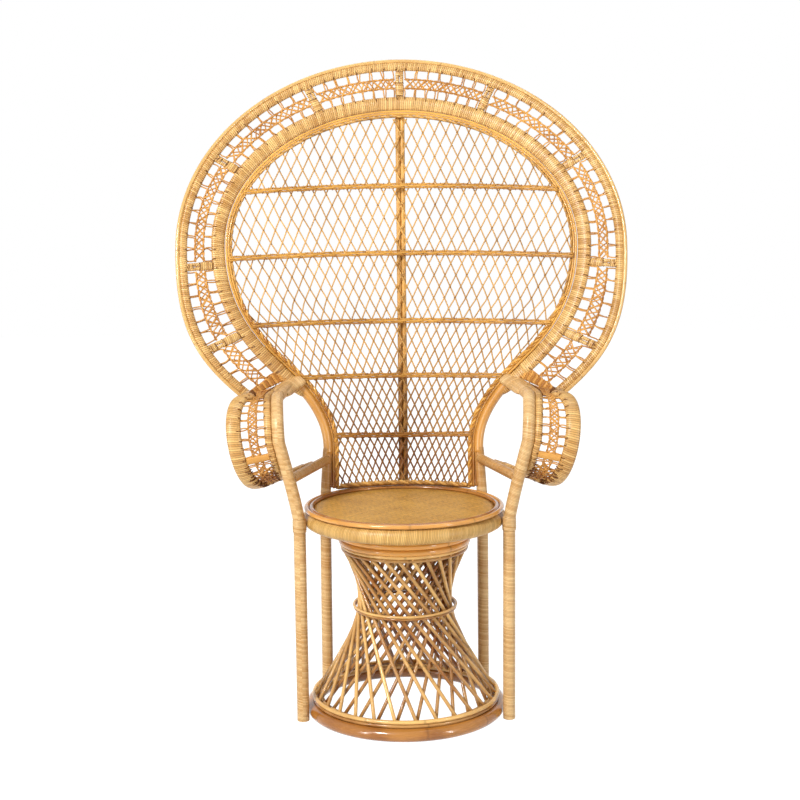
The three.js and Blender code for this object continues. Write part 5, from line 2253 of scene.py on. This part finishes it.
@dataclass
class Seat:
    """Wrapped seat ring on two braces, and the plaited panel inside its two rim rods."""

    finishes: Finishes
    ring: Section = pole(35, 22, winding=Winding(4.0, 0.6, 0.1))
    ring_radius: float = 206.5
    ring_tube: float = 17.5
    ring_height: float = 443
    brace: Section = pole(35, 16)
    brace_spread: float = 75
    brace_gap: float = 1.5
    panel_radius: float = 199
    panel_top: float = 466
    panel_gap: float = 0.3
    panel_hole: float = 0.5
    panel_start: float = 20
    crown: float = 2.5
    flat_radius: float = 120
    rim_tube: float = 5.5
    rim: Section = Section(10.8, 9.5, 14)
    rim_tones: tuple = (0.15, 0.95)

    def build(self) -> None:
        """Builds the seat ring, the panel, its rims and the two poles that carry it."""
        poles, tube = self.finishes.pole, self.ring_tube
        roll = self.ring.wound(circle(self.ring_radius, self.ring_height, 720))
        make_piece("seat_roll", [roll], self.finishes.ring, "seat_ring")
        bottom = self.ring_height + tube + self.panel_gap
        self.build_panel(bottom)
        radius = self.panel_radius + self.panel_gap + self.rim_tube
        for name, tone in zip(("inner", "outer"), self.rim_tones):
            skin = self.rim.skin(circle(radius, bottom + self.rim.height / 2), tone)
            make_piece(f"panel_rim_{name}", [skin], poles, f"seat_rim_{name}")
            radius += 2 * self.rim_tube + self.panel_gap
        inside = self.ring_radius - tube - self.brace_gap
        reach = math.sqrt(inside ** 2 - (self.brace_spread + tube) ** 2)
        y = np.linspace(-reach, reach, 24)
        for name, side in SIDES.items():
            line = Line.one_way(stacked(side * self.brace_spread, y, self.ring_height), UP)
            make_piece(f"brace_{name}", [self.brace.skin(line)], poles, f"seat_brace_{name}")

    def build_panel(self, bottom: float) -> None:
        """Crowned panel: its top falls by crown * ((r - flat) / (edge - flat))^2 outside the flat.

        Args:
            bottom: Height of its underside.
        """
        edge, hole, sides = self.panel_radius, self.panel_hole, 96
        radius = np.concatenate([[hole], np.linspace(self.panel_start, edge, 22), [edge, hole]])
        rise = np.clip((radius - self.flat_radius) / (edge - self.flat_radius), 0, 1)
        height = self.panel_top - self.crown * rise ** 2
        height[-2:] = bottom
        grid = round_axis(radius[:, None], angles(sides), height[:, None])
        around = np.arange(sides + 1) * 2 * np.pi * edge / sides
        panel = Skin(grid[None], radius[None], around)
        make_piece("seat_panel_plait", [panel], self.finishes.seat, "seat_panel")


@dataclass(frozen=True)
class Lamp:
    """Oblong lamp: its place and size in metres, its power in watts."""

    name: str
    place: tuple
    size: tuple
    power: float
    glossy: bool = True

    def build(self, aim: tuple) -> None:
        """Sets the lamp up so that it looks at the aim, and shows in gloss or not.

        Args:
            aim: The point it looks at.
        """
        data = bpy.data.lights.new(self.name, "AREA")
        data.shape, data.energy = "RECTANGLE", self.power
        data.size, data.size_y = self.size
        lamp = bpy.data.objects.new(self.name, data)
        lamp.location, lamp.visible_glossy = self.place, self.glossy
        lamp.rotation_euler = (Vector(self.place) - Vector(aim)).to_track_quat("Z", "Y").to_euler()
        bpy.context.scene.collection.objects.link(lamp)


@dataclass
class Studio:
    """Pale floor, soft lamps and the photograph's camera, none of it part of the chair."""

    camera_place: tuple = (-0.0066, -3.196, 1.138)
    pitch_down: float = math.radians(7.95)
    roll: float = math.radians(-0.6)
    lens: float = 64.75
    sensor: float = 36.0
    world_level: float = 0.13
    floor_half: float = 9
    floor_grey: float = 0.86
    floor_roughness: float = 0.9
    glow: float = 1.3
    glow_share: float = 0.8
    aim: tuple = (0.0, 0.0, 0.75)
    lamps: tuple[Lamp, ...] = (
        Lamp("key", (-1.9, -3.0, 3.2), (0.8, 0.8), 174),
        Lamp("left strip", (-2.5, -2.5, 1.05), (0.25, 2.0), 36),
        Lamp("right strip", (2.7, -2.4, 1.05), (0.25, 2.0), 42),
        Lamp("top", (0.3, 0.8, 4.2), (2.2, 2.2), 44),
        Lamp("rear", (-0.9, 3.2, 2.3), (1.8, 1.4), 55, glossy=False))

    def seen(self, graph: Graph) -> Socket:
        """1 for camera, glossy and transmission rays, and 0 for the rest.

        Args:
            graph: Graph to add the nodes to.

        Returns:
            The socket that holds it.
        """
        path = graph.add("ShaderNodeLightPath", {}).outputs
        either = graph.math("MAXIMUM", path["Is Camera Ray"], path["Is Glossy Ray"])
        return graph.math("MAXIMUM", either, path["Is Transmission Ray"])

    def build(self) -> None:
        """Builds floor, world, lamps and camera."""
        bpy.context.scene.view_settings.view_transform = "Standard"
        self.build_floor()
        self.build_world()
        for lamp in self.lamps:
            lamp.build(self.aim)
        self.build_camera()

    def build_floor(self) -> None:
        """Square floor under the chair."""
        half = self.floor_half
        mesh = bpy.data.meshes.new("floor")
        corners = [(-half, -half, 0), (half, -half, 0), (half, half, 0), (-half, half, 0)]
        mesh.from_pydata(corners, [], [(0, 1, 2, 3)])
        floor = bpy.data.objects.new("floor", mesh)
        bpy.context.scene.collection.objects.link(floor)
        mesh.materials.append(self.floor_material())

    def build_camera(self) -> None:
        """Camera where the photograph was taken from."""
        data = bpy.data.cameras.new("camera")
        data.lens, data.sensor_width = self.lens, self.sensor
        camera = bpy.data.objects.new("camera", data)
        camera.location = self.camera_place
        tilt = Euler((math.pi / 2 - self.pitch_down, 0.0, 0.0)).to_quaternion()
        camera.rotation_euler = (tilt @ Euler((0.0, 0.0, self.roll)).to_quaternion()).to_euler()
        bpy.context.scene.collection.objects.link(camera)
        bpy.context.scene.camera = camera

    def floor_material(self) -> Material:
        """Pale floor that looks white and keeps a soft shadow.

        Returns:
            The material.
        """
        material, graph, shader = new_material("pale floor")
        grey = self.floor_grey
        graph.fill(shader, {"Base Color": opaque((grey, grey, grey)), "Roughness": self.floor_roughness,
                            "Specular IOR Level": 0.0})
        glow = graph.add("ShaderNodeEmission", {"Color": (1, 1, 1, 1), "Strength": self.glow})
        share = graph.math("MULTIPLY", self.seen(graph), self.glow_share)
        mix = graph.add("ShaderNodeMixShader", {0: share, 1: shader.outputs[0], 2: glow.outputs[0]})
        graph.fill(graph.tree.nodes["Material Output"], {"Surface": mix.outputs[0]})
        return material

    def build_world(self) -> None:
        """Even soft light, white where it is seen."""
        world = bpy.data.worlds.new("studio")
        world.use_nodes = True
        bpy.context.scene.world = world
        graph = Graph(world.node_tree)
        level = graph.math("MULTIPLY_ADD", self.seen(graph), 1.0 - self.world_level, self.world_level)
        graph.fill(graph.tree.nodes["Background"], {"Color": (1, 1, 1, 1), "Strength": level})


def main() -> None:
    """Builds the studio and every sub-assembly."""
    logging.basicConfig(level=logging.INFO, format="%(name)s: %(message)s")
    Studio().build()
    finishes, keyhole = Finishes(), Keyhole()
    border = Border(finishes, keyhole)
    border.build()
    Back(finishes, keyhole, border.inner_inset).build()
    legs = Legs(finishes, keyhole, border.inner_inset)
    legs.build()
    Arms(finishes, legs).build()
    Pedestal(finishes).build()
    Seat(finishes).build()


if __name__ == "__main__":
    main()
